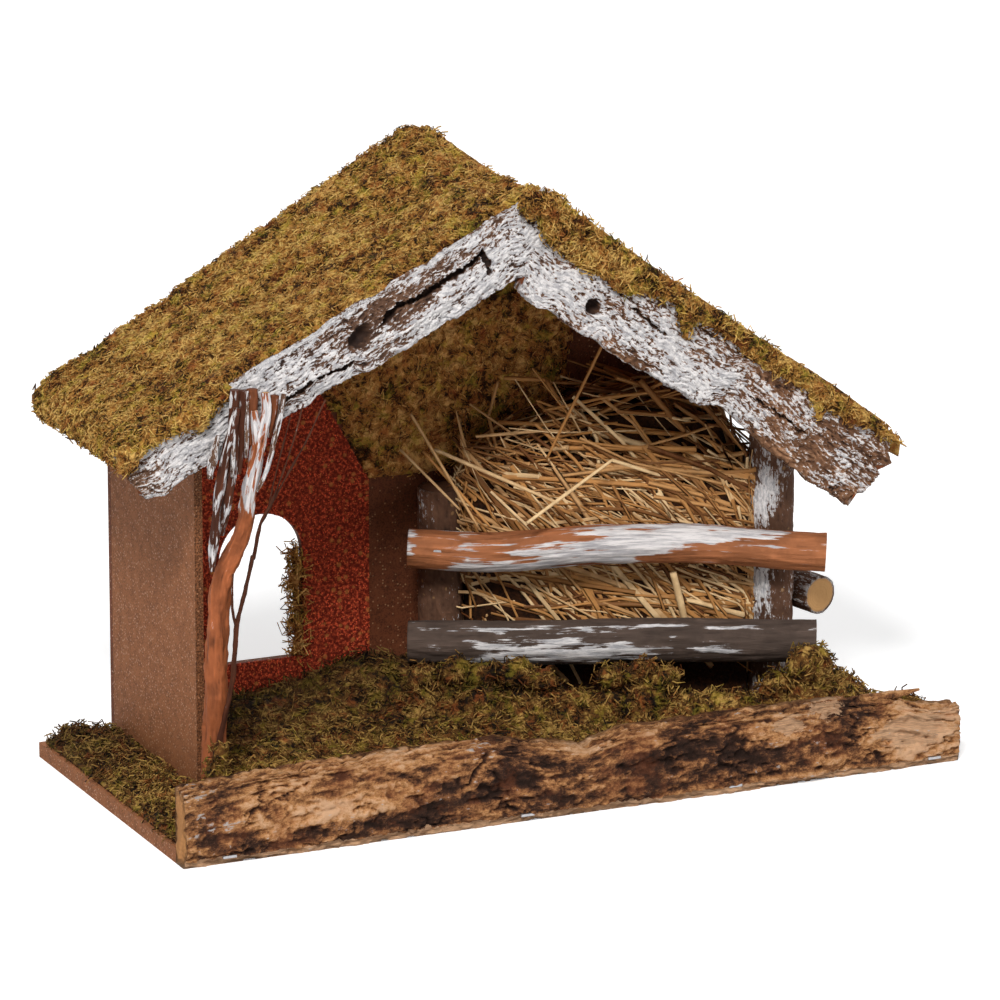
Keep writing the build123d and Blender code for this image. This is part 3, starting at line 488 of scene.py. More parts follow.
def mat_shell(shell, outline, holes, cell, height, place):
    """Adds a lumpy mat over a plan outline. height gives its underside and top, place puts them in space."""
    low, high = outline.min(axis=0), outline.max(axis=0)
    across, along = np.ceil((high - low) / cell).astype(int)
    steps_x, steps_y = low[0] + np.arange(across + 1) * cell, low[1] + np.arange(along + 1) * cell
    grid_x, grid_y = np.meshgrid(steps_x, steps_y, indexing="ij")
    keep = edge_gap(outline, holes, grid_x[:-1, :-1] + cell / 2, grid_y[:-1, :-1] + cell / 2) > 0
    gap = np.maximum(edge_gap(outline, holes, grid_x, grid_y), 0)
    under, top = height(grid_x, grid_y, gap)
    size = grid_x.size
    points = np.concatenate([place(grid_x, grid_y, side).reshape(-1, 3) for side in (top, under)])
    index = np.arange(size).reshape(grid_x.shape)
    faces = []
    borders = {}
    for i, j in zip(*np.nonzero(keep)):
        ring = [int(value) for value in (index[i, j], index[i + 1, j], index[i + 1, j + 1], index[i, j + 1])]
        faces.append(tuple(ring))
        faces.append(tuple(value + size for value in reversed(ring)))
        for start, end in zip(ring, ring[1:] + ring[:1]):
            if (end, start) in borders:
                del borders[(end, start)]
            else:
                borders[(start, end)] = True
    for start, end in borders:
        faces.append((end, start, start + size, end + size))
    used = np.unique(np.array([value for face in faces for value in face]))
    renumber = np.full(2 * size, -1)
    renumber[used] = np.arange(len(used))
    grow = np.concatenate([(0.25 + 0.75 * steps(gap, 0, 2.5)).ravel(), np.zeros(size)])[used]
    faces = [tuple(int(renumber[value]) for value in face) for face in faces]
    shell.add(points[used], faces, moss_marks(points[used], grow))


def wavy(outline, step, sway, seed):
    """Outline with more points, moved a little so that its edge is ragged."""
    outline = np.asarray(outline, float)
    points = []
    for start, end in zip(outline, np.roll(outline, -1, axis=0)):
        count = max(int(np.hypot(*(end - start)) / step), 1)
        points.extend(start + (end - start) * k / count for k in range(count))
    points = np.array(points)
    spots = np.column_stack([points * 0.12, np.zeros(len(points))])
    shift = stacked(*(rough_noise(spots + 9.1 * k, seed + k, 3) for k in range(2))) - 0.5
    return points + shift * 2 * sway


# Node trees

class Web:
    """Short hand for building a node tree."""

    def __init__(self, tree):
        self.tree = tree

    def feed(self, socket, value):
        """Links a socket or sets its value; a plain colour gets its alpha here."""
        if isinstance(value, bpy.types.NodeSocket):
            self.tree.links.new(value, socket)
        else:
            socket.default_value = (*value, 1) if socket.type == "RGBA" else value

    def add(self, kind, inputs=None, **settings):
        """A new node with its settings and inputs."""
        made = self.tree.nodes.new(kind)
        for label, value in settings.items():
            setattr(made, label, value)
        for label, value in (inputs or {}).items():
            self.feed(made.inputs[label], value)
        return made

    def out(self, kind, inputs=None, **settings):
        """First output of a new node."""
        return self.add(kind, inputs, **settings).outputs[0]

    def math(self, operation, first, second=0):
        """Result of one sum."""
        return self.out("ShaderNodeMath", {0: first, 1: second}, operation=operation)

    def times(self, first, second):
        """Product of two values."""
        return self.math("MULTIPLY", first, second)

    def total(self, *parts, start=0):
        """Sum of values times their weights, from a start."""
        for value, weight in parts:
            inputs = {0: value, 1: weight, 2: start}
            start = self.out("ShaderNodeMath", inputs, operation="MULTIPLY_ADD")
        return start

    def span(self, value, low, high, start=0, end=1):
        """Smooth step of a value between two limits."""
        inputs = {0: value, 1: low, 2: high, 3: start, 4: end}
        return self.out("ShaderNodeMapRange", inputs, interpolation_type="SMOOTHSTEP")

    def mix(self, factor, first, second):
        """Mix of two colours."""
        return self.add("ShaderNodeMix", {0: factor, 6: first, 7: second}, data_type="RGBA").outputs[2]

    def ramp(self, value, stops):
        """Colour from a value through stops of place and colour."""
        made = self.add("ShaderNodeValToRGB", {0: value})
        marks = made.color_ramp.elements
        while len(marks) < len(stops):
            marks.new(0.5)
        for mark, (place, shade) in zip(marks, stops):
            mark.position = place
            mark.color = (*shade, 1)
        return made.outputs[0]

    def noise(self, vector, scale, detail=3, rough=0.55):
        """Value of a noise texture."""
        inputs = {"Vector": vector, "Scale": scale, "Detail": detail, "Roughness": rough}
        return self.out("ShaderNodeTexNoise", inputs)

    def stretch(self, vector, scale):
        """Vector stretched by a scale for each axis."""
        return self.out("ShaderNodeMapping", {"Vector": vector, "Scale": scale})

    def place(self):
        """Coordinates of the object itself."""
        return self.add("ShaderNodeTexCoord").outputs["Object"]

    def axis(self, vector, index):
        """One coordinate of a vector."""
        return self.add("ShaderNodeSeparateXYZ", {"Vector": vector}).outputs[index]

    def mark(self, label, vector=False):
        """A named mark of the mesh."""
        made = self.add("ShaderNodeAttribute", attribute_name=label)
        return made.outputs["Vector" if vector else "Fac"]

    def group(self, build, inputs):
        """Outputs of a shared effect with its own values."""
        return self.add("ShaderNodeGroup", inputs, node_tree=shared_tree(build)).outputs


def new_tree(name, kind, inputs, outputs):
    """A new node tree with named sockets: its web, its inputs and its outputs."""
    tree = bpy.data.node_groups.new(name, kind)
    for in_out, sockets in (("INPUT", inputs), ("OUTPUT", outputs)):
        for label, socket in sockets.items():
            tree.interface.new_socket(name=label, in_out=in_out, socket_type="NodeSocket" + socket)
    web = Web(tree)
    return web, web.add("NodeGroupInput").outputs, web.add("NodeGroupOutput").inputs


def shared_tree(build):
    """The node tree that a function builds, named after it and made on first use."""
    name = build.__name__.replace("_", " ").capitalize()
    return bpy.data.node_groups.get(name) or build(name).tree


def made_material(name, build, *values, **settings):
    """The material of that name, made on first use."""
    return bpy.data.materials.get(name) or build(name, *values, **settings)


# Shared shader effects

def bark_tone(name):
    """Colour of bark from the crack to the ridge; the dark cracks are partly the bark's own colour and
    partly painted shade.
    """
    inputs = dict(Relief="Float", Vector="Vector", Scale="Float")
    inputs.update(Crack="Color", Middle="Color", Ridge="Color")
    web, source, target = new_tree(name, "ShaderNodeTree", inputs, dict(Color="Color", Height="Float"))
    fine = web.noise(source["Vector"], source["Scale"], 5, 0.65)
    level = web.total((source["Relief"], 1), (fine, 0.5), start=-0.25)
    low = web.mix(web.span(level, 0.16, 0.52), source["Crack"], source["Middle"])
    web.feed(target["Color"], web.mix(web.span(level, 0.5, 0.92), low, source["Ridge"]))
    web.feed(target["Height"], fine)
    return web


def dry_brush(name):
    """Paint that a dry brush leaves on the ridges, in streaks."""
    inputs = dict(Relief="Float", Paint="Float", Vector="Vector", Scale="Float")
    web, source, target = new_tree(name, "ShaderNodeTree", inputs, dict(Mask="Float"))
    patch = web.noise(source["Vector"], source["Scale"], 6, 0.7)
    lines = web.noise(web.stretch(source["Vector"], (0.3, 2.2, 2.2)), source["Scale"], 3, 0.6)
    parts = (source["Relief"], 1.5), (patch, 1.5), (lines, 0.7), (source["Paint"], 1)
    web.feed(target["Mask"], web.span(web.total(*parts, start=-1.88), 0.52, 0.64))
    return web


def fine_specks(name):
    """Small round specks of random brightness."""
    inputs = dict(Vector="Vector", Scale="Float", Share="Float")
    web, source, target = new_tree(name, "ShaderNodeTree", inputs, dict(Mask="Float"))
    cells = web.add("ShaderNodeTexVoronoi", {"Vector": source["Vector"], "Scale": source["Scale"]}).outputs
    pick = web.out("ShaderNodeSeparateColor", {"Color": cells["Color"]})
    chosen = web.math("GREATER_THAN", pick, web.math("SUBTRACT", 1, source["Share"]))
    web.feed(target["Mask"], web.times(chosen, web.span(cells["Distance"], 0.42, 0.2)))
    return web


def cut_end(name):
    """Rings of a sawn end."""
    inputs = dict(Grain="Vector", Vector="Vector", Wood="Color", Edge="Color")
    web, source, target = new_tree(name, "ShaderNodeTree", inputs, dict(Color="Color"))
    radius = web.axis(source["Grain"], 0)
    rings = web.math("SINE", web.total((radius, 6), (web.noise(source["Vector"], 300), 5)))
    wood = web.mix(web.times(web.span(rings, -1, 1), 0.16), source["Wood"], source["Edge"])
    web.feed(target["Color"], web.mix(web.span(radius, 7.2, 8.8), wood, source["Edge"]))
    return web


# Materials

DULL_SHINE = 0.18
GREY_BARK = (0.74, 0.74, 0.76)
TAN_BARK = (0.92, 0.86, 0.78)
# White paint greyed in random patches: partly soiled paint, partly painted shade on the whitewash
SOILED_AND_SHADED_PAINT = (0.46, 0.47, 0.5)
YELLOW_GREEN = (0.8, 1.02, 0.4)
# The wall moss is a brighter copy of the roof moss: partly its own lighter colour, partly painted light that
# makes up for the shade under the roof
WALL_MOSS_TINT_AND_LIGHT = (1.2, 1.08, 1.2)
# The back wall's brown is made darker and redder, as painted shade for the shade under the roof
BACK_WALL_SHADE = (0.52, 0.4, 0.4)
ROOF_MOSS = ("roof_moss_dark", "roof_moss_olive", "roof_moss_light", "roof_moss_rust")
FLOOR_MOSS = ("floor_moss_dark", "floor_moss_olive", "floor_moss_light", "roof_moss_rust")


class Finish(Web):
    """Short hand for building a material."""

    def __init__(self, name, rough):
        self.material = bpy.data.materials.new(name)
        self.material.use_nodes = True
        super().__init__(self.material.node_tree)
        self.shader = self.tree.nodes["Principled BSDF"].inputs
        self.shader["Roughness"].default_value = rough
        self.shader["Specular IOR Level"].default_value = DULL_SHINE

    def specks(self, scale, share):
        """Mask of small specks."""
        return self.group(fine_specks, {"Vector": self.place(), "Scale": scale, "Share": share})["Mask"]

    def brushed(self, along, scale):
        """Mask of the paint that a dry brush leaves."""
        values = {"Relief": self.mark("relief"), "Paint": self.mark("paint")}
        return self.group(dry_brush, {**values, "Vector": along, "Scale": scale})["Mask"]

    def sawn(self, skin, wood, edge):
        """A skin with rings on its sawn ends."""
        values = {"Grain": self.mark("grain", True), "Vector": self.place(), "Wood": wood, "Edge": edge}
        return self.mix(self.span(self.mark("cut"), 0.35, 0.75), skin, self.group(cut_end, values)["Color"])

    def coat(self, shade, bump=None, rough=None):
        """The material with its colour, its bumps and its roughness."""
        self.feed(self.shader["Base Color"], shade)
        if bump is not None:
            inputs = dict(zip(("Height", "Strength", "Distance"), bump))
            self.feed(self.shader["Normal"], self.out("ShaderNodeBump", inputs))
        if rough is not None:
            self.feed(self.shader["Roughness"], rough)
        return self.material


def board_material(name, colours, shade=1, edge=-1):
    """Brown paint with bronze glitter on hardboard; the cut edge in front of a depth is darker and rough."""
    web = Finish(name, 0.7)
    place = web.place()
    grit = web.noise(place, 1500, 3, 0.6)
    level = web.total((web.noise(place, 240, 5, 0.65), 0.35), (grit, 0.65))
    brown = scaled(colours.board_brown, shade)
    paint = web.mix(web.span(level, 0.36, 0.58), scaled(brown, 0.45), brown)
    grain = web.span(web.noise(place, 1300, 4, 0.7), 0.4, 0.66)
    rough = web.mix(grain, scaled(brown, 0.2), scaled(brown, 0.9))
    paint = web.mix(web.math("LESS_THAN", web.axis(place, 1), edge), paint, rough)
    glint = web.specks(1000, 0.2)
    paint = web.mix(web.times(glint, 0.5), paint, colours.board_bronze)
    bump = web.math("ADD", grit, glint), 0.5, 0.0004
    return web.coat(paint, bump, web.span(glint, 0, 1, 0.75, 0.35))


def flock_material(name, colours):
    """Deep red flock with gold specks."""
    web = Finish(name, 0.9)
    mark = web.mark("tone")
    mottle = web.noise(web.place(), 800, 3, 0.65)
    level = web.span(web.total((mottle, 1), (mark, 0.4)), 0.42, 0.78)
    ground = web.mix(level, scaled(colours.red_deep, 0.45), scaled(colours.red_deep, 5))
    gold = web.math("MAXIMUM", web.specks(360, 0.3), web.math("GREATER_THAN", mark, 0.8))
    return web.coat(web.mix(web.times(gold, 0.6), ground, colours.red_gold), (mottle, 0.7, 0.0008))


def bark_tones(middle, crack, ridge):
    """Colours of a bark from its middle one: the crack's, its own and the ridge's."""
    return scaled(middle, crack), middle, scaled(middle, ridge)


def bark_material(name, colours, tones, paint_scale, rough=0.85, fibre=0.35, lichen=0, sawn=None):
    """Bark with dry-brushed paint on its ridges, specks of lichen and rings on its sawn ends."""
    web = Finish(name, rough)
    crack, middle, ridge = tones
    relief = web.mark("relief")
    along = web.stretch(web.mark("grain", True), (fibre, 1, 1))
    values = {"Crack": crack, "Middle": middle, "Ridge": ridge}
    bark = web.group(bark_tone, {"Relief": relief, "Vector": along, "Scale": 0.9, **values})
    shaded = web.times(web.span(web.noise(web.place(), 70, 4, 0.7), 0.56, 0.4), 0.4)
    skin = web.mix(shaded, bark["Color"], scaled(middle, 0.5))
    if lichen:
        skin = web.mix(web.times(web.specks(420, lichen), 0.7), skin, scaled(colours.cut_wood, 0.6))
    white = colours.white_paint
    # The white paint turns greyer in random patches, partly as painted shade
    clean_and_lit = web.span(web.noise(along, 0.9, 5, 0.75), 0.36, 0.62)
    paint = web.mix(clean_and_lit, scaled(white, SOILED_AND_SHADED_PAINT), white)
    skin = web.mix(web.times(web.brushed(along, paint_scale), 0.94), skin, paint)
    bump = web.math("ADD", bark["Height"], relief), 0.7, 0.0008
    return web.coat(web.sawn(skin, sawn or colours.cut_wood, middle), bump)


def whitewash_material(name, colours, warmth):
    """Bark of a warmth under broken white paint, with dark torn ends."""
    tones = colours.bark_crack, scaled(colours.bark_middle, warmth), scaled(colours.bark_ridge, warmth)
    return bark_material(name, colours, tones, 2.1, sawn=scaled(colours.trunk_red, 0.6))


def slab_material(name, colours):
    """Granular crust from black-brown to tan, with torn bare wood and pale flakes."""
    web = Finish(name, 0.85)
    grain = web.mark("grain", True)
    along = web.stretch(grain, (0.5, 1, 1))
    middle = web.noise(along, 0.34, 5, 0.75)
    grit = web.noise(web.stretch(grain, (0.8, 1, 1)), 1.5, 4, 0.75)
    level = web.total(
        (web.noise(along, 0.1, 4, 0.6), 0.9), (middle, 1.1), (grit, 0.75), (web.mark("relief"), 0.6),
        (web.mark("light"), 0.34), (web.mark("burn"), -0.42),
    )
    dark, brown, tan, bare_wood = colours.slab_dark, colours.slab_brown, colours.slab_tan, colours.slab_bare
    stops = ((0.05, scaled(dark, 0.35)), (0.3, dark), (0.52, brown), (0.72, tan), (0.95, bare_wood))
    skin = web.ramp(web.span(level, 1.05, 2.35), stops)
    red = web.span(web.noise(web.place(), 75, 5, 0.75), 0.5, 0.64)
    skin = web.mix(web.times(red, 0.5), skin, web.mix(0.5, skin, colours.slab_rust))
    fibre = web.noise(web.stretch(grain, (0.06, 1, 1)), 2.4, 5, 0.65)
    wood = web.mix(web.span(fibre, 0.34, 0.66), scaled(bare_wood, 0.55), bare_wood)
    bare = web.total((web.mark("bare"), 1), (web.noise(along, 0.3, 6, 0.75), 2.2), start=-1.1)
    skin = web.mix(web.times(web.span(bare, 0.55, 0.6), 0.9), skin, wood)
    skin = web.mix(web.times(web.brushed(along, 0.9), 0.75), skin, scaled(colours.white_paint, 0.7))
    return web.coat(web.sawn(skin, tan, brown), (web.math("ADD", grit, middle), 0.9, 0.0012))


def moss_material(name, colours, tones, factor=1, inside=0):
    """Moss: each strand has its own tone, darker at its root as painted shade; dark gaps, partly painted
    shade; rusty spots and yellow-green patches; and painted shade that darkens it inside.
    """
    web = Finish(name, 0.9)
    dark, olive, light, rust = (scaled(getattr(colours, tone), factor) for tone in tones)
    place = web.place()
    fine = web.noise(place, 620, 5, 0.8)
    clump = web.noise(place, 190, 4, 0.7)
    patch = web.noise(place, 60, 3, 0.6)
    # The tip mark darkens each strand towards its root, as painted shade deep in the moss
    parts = (web.mark("tone"), 0.5), (fine, 1.3), (clump, 1.75), (web.mark("tip"), 0.3), (patch, 0.9)
    level = web.total(*parts, start=-0.84375)
    body = web.mix(web.span(level, 1.28, 1.48), dark, olive)
    body = web.mix(web.span(level, 1.56, 1.82), body, light)
    spots = web.noise(place, 150, 4, 0.7)
    body = web.mix(web.times(web.span(spots, 0.53, 0.66), 0.5), body, rust)
    greener = web.mix(0.6, body, scaled(light, YELLOW_GREEN))
    body = web.mix(web.times(web.span(spots, 0.48, 0.36), 0.65), body, greener)
    # Painted shade: the moss darkens towards the back, inside the stable, by the share given as inside
    body = web.mix(web.span(web.axis(place, 1), -0.01, 0.055, 0, inside), body, dark)
    return web.coat(body, (fine, 0.9, 0.0009))


def straw_material(name, colours):
    """Straw: each stalk has its own tone, with fine lines along it."""
    web = Finish(name, 0.55)
    level = web.mark("tone")
    body = web.mix(web.span(level, 0.05, 0.5), colours.straw_brown, colours.straw_gold)
    body = web.mix(web.span(level, 0.6, 0.95), body, colours.straw_pale)
    streak = web.noise(web.place(), 160, 3)
    body = web.mix(web.times(web.span(streak, 0.62, 0.38), 0.4), body, scaled(colours.straw_gold, 0.55))
    return web.coat(body, rough=web.span(streak, 0.3, 0.7, 0.45, 0.7))


def dark_filling_material(name, colours):
    """Shaded inside of the straw."""
    web = Finish(name, 0.95)
    streak = web.noise(web.place(), 420, 5, 0.7)
    brown = colours.straw_brown
    body = web.mix(web.span(streak, 0.35, 0.75), scaled(brown, 0.08), scaled(brown, 0.5))
    return web.coat(body, (streak, 0.8, 0.002))


def steel_material(name, colours):
    """Bright steel wire with faint scratches."""
    web = Finish(name, 0.35)
    web.shader["Metallic"].default_value = 1
    scratch = web.noise(web.stretch(web.place(), (900, 900, 3000)), 1, 4)
    body = web.mix(web.span(scratch, 0.3, 0.7), scaled(colours.steel, 0.75), colours.steel)
    return web.coat(body, rough=web.span(scratch, 0.3, 0.7, 0.25, 0.5))


# Geometry node trees

# Strands of moss: start, two handles and end of each curve, for a length of one
STRAND_SHAPES = (
    ((0, 0, -0.06), (0.9, 0.5, 0.3), (0.9, -0.7, 0.34), (0.15, -0.35, 0.1)),
    ((0, 0, -0.06), (0.7, -0.8, 0.26), (1.2, 0.3, 0.34), (0.4, 0.6, 0.06)),
    ((0, 0, -0.06), (0.5, 0.7, 0.36), (0.3, -0.8, 0.42), (0.9, -0.2, 0.1)),
    ((0, 0, -0.06), (0.3, -0.6, 0.22), (0.8, 0.8, 0.26), (1, -0.2, 0.06)),
)
# Stalks of straw, and how wide each is beside the widest
STALK_SHAPES = (
    ((-0.5, 0, 0), (-0.2, 0.01, 0.02), (0.2, -0.01, 0.02), (0.5, 0, 0)),
    ((-0.5, 0, 0), (-0.1, 0.06, 0.03), (0.2, 0.05, 0.02), (0.5, -0.04, 0)),
    ((-0.5, 0.02, 0), (-0.2, -0.05, 0.02), (0.1, 0.02, 0.04), (0.5, 0.05, 0.02)),
)
STALK_WIDTHS = (1, 0.66, 0.45)


def growth_tree(name, inputs):
    """A new geometry tree that grows things on a surface: web, inputs, outputs and points."""
    common = dict(Geometry="Geometry", Density="Float", Seed="Int", Ground="Bool", Material="Material")
    web, source, target = new_tree(name, "GeometryNodeTree", {**common, **inputs}, dict(Geometry="Geometry"))
    grow = web.out("GeometryNodeInputNamedAttribute", {"Name": "grow"}, data_type="FLOAT")
    values = {"Mesh": source["Geometry"], "Seed": source["Seed"]}
    values["Density"] = web.times(grow, source["Density"])
    return web, source, target, web.add("GeometryNodeDistributePointsOnFaces", values).outputs


def random_value(web, kind, low, high, seed):
    """Random value for each point."""
    made = web.add("FunctionNodeRandomValue", data_type=kind)
    first, out = {"FLOAT_VECTOR": (0, 0), "FLOAT": (2, 1), "INT": (4, 2)}[kind]
    web.feed(made.inputs[first], low)
    web.feed(made.inputs[first + 1], high)
    made.inputs["Seed"].default_value = seed
    return made.outputs[out]


def tapered_hair(web, shape, resolution, sides, radius, taper):
    """A curved hair of unit length, thinner at its tip, that remembers how far along it is."""
    labels = ("Start", "Start Handle", "End Handle", "End", "Resolution")
    curve = web.out("GeometryNodeCurvePrimitiveBezierSegment", dict(zip(labels, (*shape, resolution))))
    along = web.add("GeometryNodeSplineParameter").outputs["Factor"]
    inputs = {"Geometry": curve, "Name": "tip", "Value": along}
    marked = web.out("GeometryNodeStoreNamedAttribute", inputs)
    thin = web.total((along, -taper), start=1)
    sized = web.out("GeometryNodeSetCurveRadius", {"Curve": marked, "Radius": thin})
    ring = web.out("GeometryNodeCurvePrimitiveCircle", {"Resolution": sides, "Radius": radius})
    inputs = {"Curve": sized, "Profile Curve": ring, "Fill Caps": True}
    return web.out("GeometryNodeCurveToMesh", inputs)


def turned(web, start, lean, swing):
    """Rotation from a start by a random lean, each axis times its swing."""
    scale = web.out("ShaderNodeCombineXYZ", dict(enumerate(swing)))
    turn = web.out("ShaderNodeVectorMath", {0: lean, 1: scale}, operation="MULTIPLY")
    by = web.out("FunctionNodeEulerToRotation", {"Euler": turn})
    inputs = {"Rotation": start, "Rotate By": by}
    return web.out("FunctionNodeRotateRotation", inputs, rotation_space="LOCAL")


def scatter_end(web, source, target, points, shapes, rotation, scale, seed):
    """Places shapes on points, gives each its tone, makes them real and joins them with their ground."""
    bundle = web.add("GeometryNodeGeometryToInstance")
    for shape in reversed(shapes):
        web.feed(bundle.inputs[0], shape)
    inputs = {"Points": points, "Instance": bundle.outputs[0], "Rotation": rotation, "Scale": scale}
    picked = random_value(web, "INT", 0, len(shapes) - 1, seed)
    inputs.update({"Pick Instance": True, "Instance Index": picked})
    placed = web.out("GeometryNodeInstanceOnPoints", inputs)
    inputs = {"Geometry": placed, "Name": "tone", "Value": random_value(web, "FLOAT", 0, 1, seed + 1)}
    toned = web.out("GeometryNodeStoreNamedAttribute", inputs, domain="INSTANCE")
    real = web.out("GeometryNodeRealizeInstances", {"Geometry": toned})
    smooth = web.out("GeometryNodeSetShadeSmooth", {"Geometry": real})
    inputs = {"Geometry": smooth, "Material": source["Material"]}
    finished = web.out("GeometryNodeSetMaterial", inputs)
    kept = web.out("GeometryNodeSwitch", {"Switch": source["Ground"], "True": source["Geometry"]})
    joined = web.add("GeometryNodeJoinGeometry")
    for part in (finished, kept):
        web.feed(joined.inputs[0], part)
    web.feed(target["Geometry"], joined.outputs[0])
    return web


def moss_strands(name):
    """Geometry tree that grows curled strands on a mat of moss."""
    web, source, target, spread = growth_tree(name, dict(Length="Float", Radius="Float", Tilt="Float"))
    thickness = web.math("DIVIDE", source["Radius"], source["Length"])
    shapes = [tapered_hair(web, shape, 2, 3, thickness, 0.6) for shape in STRAND_SHAPES]
    lean = random_value(web, "FLOAT_VECTOR", (-1, -1, -math.pi), (1, 1, math.pi), 3)
    aimed = turned(web, spread["Rotation"], lean, (source["Tilt"], source["Tilt"], 1))
    grown = web.times(random_value(web, "FLOAT", 0.55, 1.35, 4), source["Length"])
    return scatter_end(web, source, target, spread["Points"], shapes, aimed, grown, 11)


def straw_stalks(name):
    """Geometry tree that lays straw stalks over a heap, most of them one way."""
    inputs = {"Length": "Float", "Radius": "Float", "Spread": "Float", "Main way": "Vector"}
    web, source, target, spread = growth_tree(name, inputs)
    thickness = web.math("DIVIDE", source["Radius"], source["Length"])
    shapes = []
    for shape, width in zip(STALK_SHAPES, STALK_WIDTHS):
        shapes.append(tapered_hair(web, shape, 3, 5, web.times(thickness, width), 0.2))
    axes = {"Primary Axis": spread["Normal"], "Secondary Axis": source["Main way"]}
    facing = web.out("FunctionNodeAxesToRotation", axes, primary_axis="Z", secondary_axis="X")
    lean = random_value(web, "FLOAT_VECTOR", (-0.3, -0.2, -1), (0.3, 0.2, 1), 5)
    aimed = turned(web, facing, lean, (1, 1, source["Spread"]))
    grown = web.times(random_value(web, "FLOAT", 0.4, 1.15, 6), source["Length"])
    wide = web.times(random_value(web, "FLOAT", 0.5, 1.5, 8), source["Length"])
    size = web.out("ShaderNodeCombineXYZ", {0: grown, 1: wide, 2: web.times(wide, 0.7)})
    inputs = {0: spread["Normal"], "Scale": random_value(web, "FLOAT", -3 * MM, 5 * MM, 9)}
    lift = web.out("ShaderNodeVectorMath", inputs, operation="SCALE")
    lifted = web.out("GeometryNodeSetPosition", {"Geometry": spread["Points"], "Offset": lift})
    return scatter_end(web, source, target, lifted, shapes, aimed, size, 21)


def flock_crumbs(name):
    """Geometry tree that strews small crumbs over a surface."""
    web, source, target, spread = growth_tree(name, dict(Size="Float"))
    crumb = web.out("GeometryNodeMeshIcoSphere", {"Radius": 0.5, "Subdivisions": 1})
    turn = random_value(web, "FLOAT_VECTOR", (-3.1, -3.1, -3.1), (3.1, 3.1, 3.1), 7)
    rotation = web.out("FunctionNodeEulerToRotation", {"Euler": turn})
    squeeze = random_value(web, "FLOAT_VECTOR", (0.4, 0.4, 0.4), (1.4, 1, 0.8), 8)
    sized = web.out("ShaderNodeVectorMath", {0: squeeze, "Scale": source["Size"]}, operation="SCALE")
    return scatter_end(web, source, target, spread["Points"], [crumb], rotation, sized, 31)


def grow_on(piece, build, values, bend=None):
    """Runs a geometry tree on a piece and keeps the result as its plain mesh; bend moves its points."""
    modifier = piece.modifiers.new("Growth", "NODES")
    modifier.node_group = shared_tree(build)
    for item in modifier.node_group.interface.items_tree:
        if item.in_out == "INPUT" and item.name in values:
            modifier[item.identifier] = values[item.name]
    graph = bpy.context.evaluated_depsgraph_get()
    result = piece.evaluated_get(graph)
    mesh = bpy.data.meshes.new_from_object(result, preserve_all_data_layers=True, depsgraph=graph)
    piece.modifiers.remove(modifier)
    points = np.empty(len(mesh.vertices) * 3, np.float32)
    mesh.vertices.foreach_get("co", points)
    if bend:
        points = bend(points.reshape(-1, 3) / MM).astype(np.float32).ravel() * MM
    points[2::3] = np.maximum(points[2::3], LOWEST_STRAND * MM)
    mesh.vertices.foreach_set("co", points)
    mesh.update()
    old = piece.data
    piece.data = mesh
    bpy.data.meshes.remove(old)
    mesh.name = piece.name


def merged_copy(name, label, material, grow, cuts=0):
    """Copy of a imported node's mesh with its triangles joined; grow says where things may stand on it."""
    mesh = frame["nodes"][name].data.copy()
    mesh.name = label
    shell = bmesh.new()
    shell.from_mesh(mesh)
    bmesh.ops.remove_doubles(shell, verts=shell.verts, dist=0.01 * MM)
    if cuts:
        bmesh.ops.triangulate(shell, faces=shell.faces)
        bmesh.ops.subdivide_edges(shell, edges=shell.edges, cuts=cuts, use_grid_fill=True)
    shell.to_mesh(mesh)
    shell.free()
    values = [grow(vertex.co / MM) for vertex in mesh.vertices]
    mesh.attributes.new("grow", "FLOAT", "POINT").data.foreach_set("value", values)
    return linked(label, mesh, material)


def dress_nodes(material, *names):
    """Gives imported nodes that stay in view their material."""
    for name in names:
        for slot in frame["nodes"][name].material_slots:
            slot.material = material


# Sides that sticks are turned by
UPWARD = (0, 0, 1)
BACKWARD = (0, 1, 0)

# Operators

UNDOABLE = {"REGISTER", "UNDO"}


def chosen(context):
    """Sizes and colours that the scene holds."""
    return context.scene.stable_sizes, context.scene.stable_colours


CUT_EDGE = 0.3


class STABLE_OT_boards(bpy.types.Operator):
    """Paint the base, the walls and the roof boards"""

    bl_idname = "stable.boards"
    bl_label = "Painted boards"
    bl_options = UNDOABLE

    def execute(self, context):
        colours = context.scene.stable_colours
        front = (node_box("left_wall")[0][1] + CUT_EDGE) * MM
        paint = made_material("glitter_paint", board_material, colours)
        wall = made_material("wall_paint", board_material, colours, edge=front)
        # The back wall gets a darker copy of the paint, as painted shade
        shaded = made_material("back_wall_paint", board_material, colours, shade=BACK_WALL_SHADE)
        dress_nodes(paint, "base_board", "left_roof_board", "right_roof_board")
        dress_nodes(wall, "left_wall")
        dress_nodes(shaded, "back_wall")
        return {"FINISHED"}


FLOCK_DEPTH = 0.2
FLOCK_SIZE = 0.75
FLOCK_DENSITY = 600000.0


class STABLE_OT_red_sheet(bpy.types.Operator):
    """Flock the red sheet round the arch"""

    bl_idname = "stable.red_sheet"
    bl_label = "Red flocked sheet"
    bl_options = UNDOABLE

    def execute(self, context):
        colours = context.scene.stable_colours
        flock = made_material("flocked_red", flock_material, colours)
        front = node_box("red_arch_panel")[0][1]

        def grow(spot):
            """Crumbs lie on the front face only."""
            return float(spot.y < front + FLOCK_DEPTH)

        piece = merged_copy("red_arch_panel", "red_flocked_sheet", flock, grow)
        values = {"Density": FLOCK_DENSITY, "Size": FLOCK_SIZE * MM, "Seed": 4}
        grow_on(piece, flock_crumbs, {**values, "Ground": True, "Material": flock})
        finish_piece(piece, "red_flock", "red_arch_panel")
        return {"FINISHED"}


SLAB_ROWS = 480
SLAB_FACE = 66
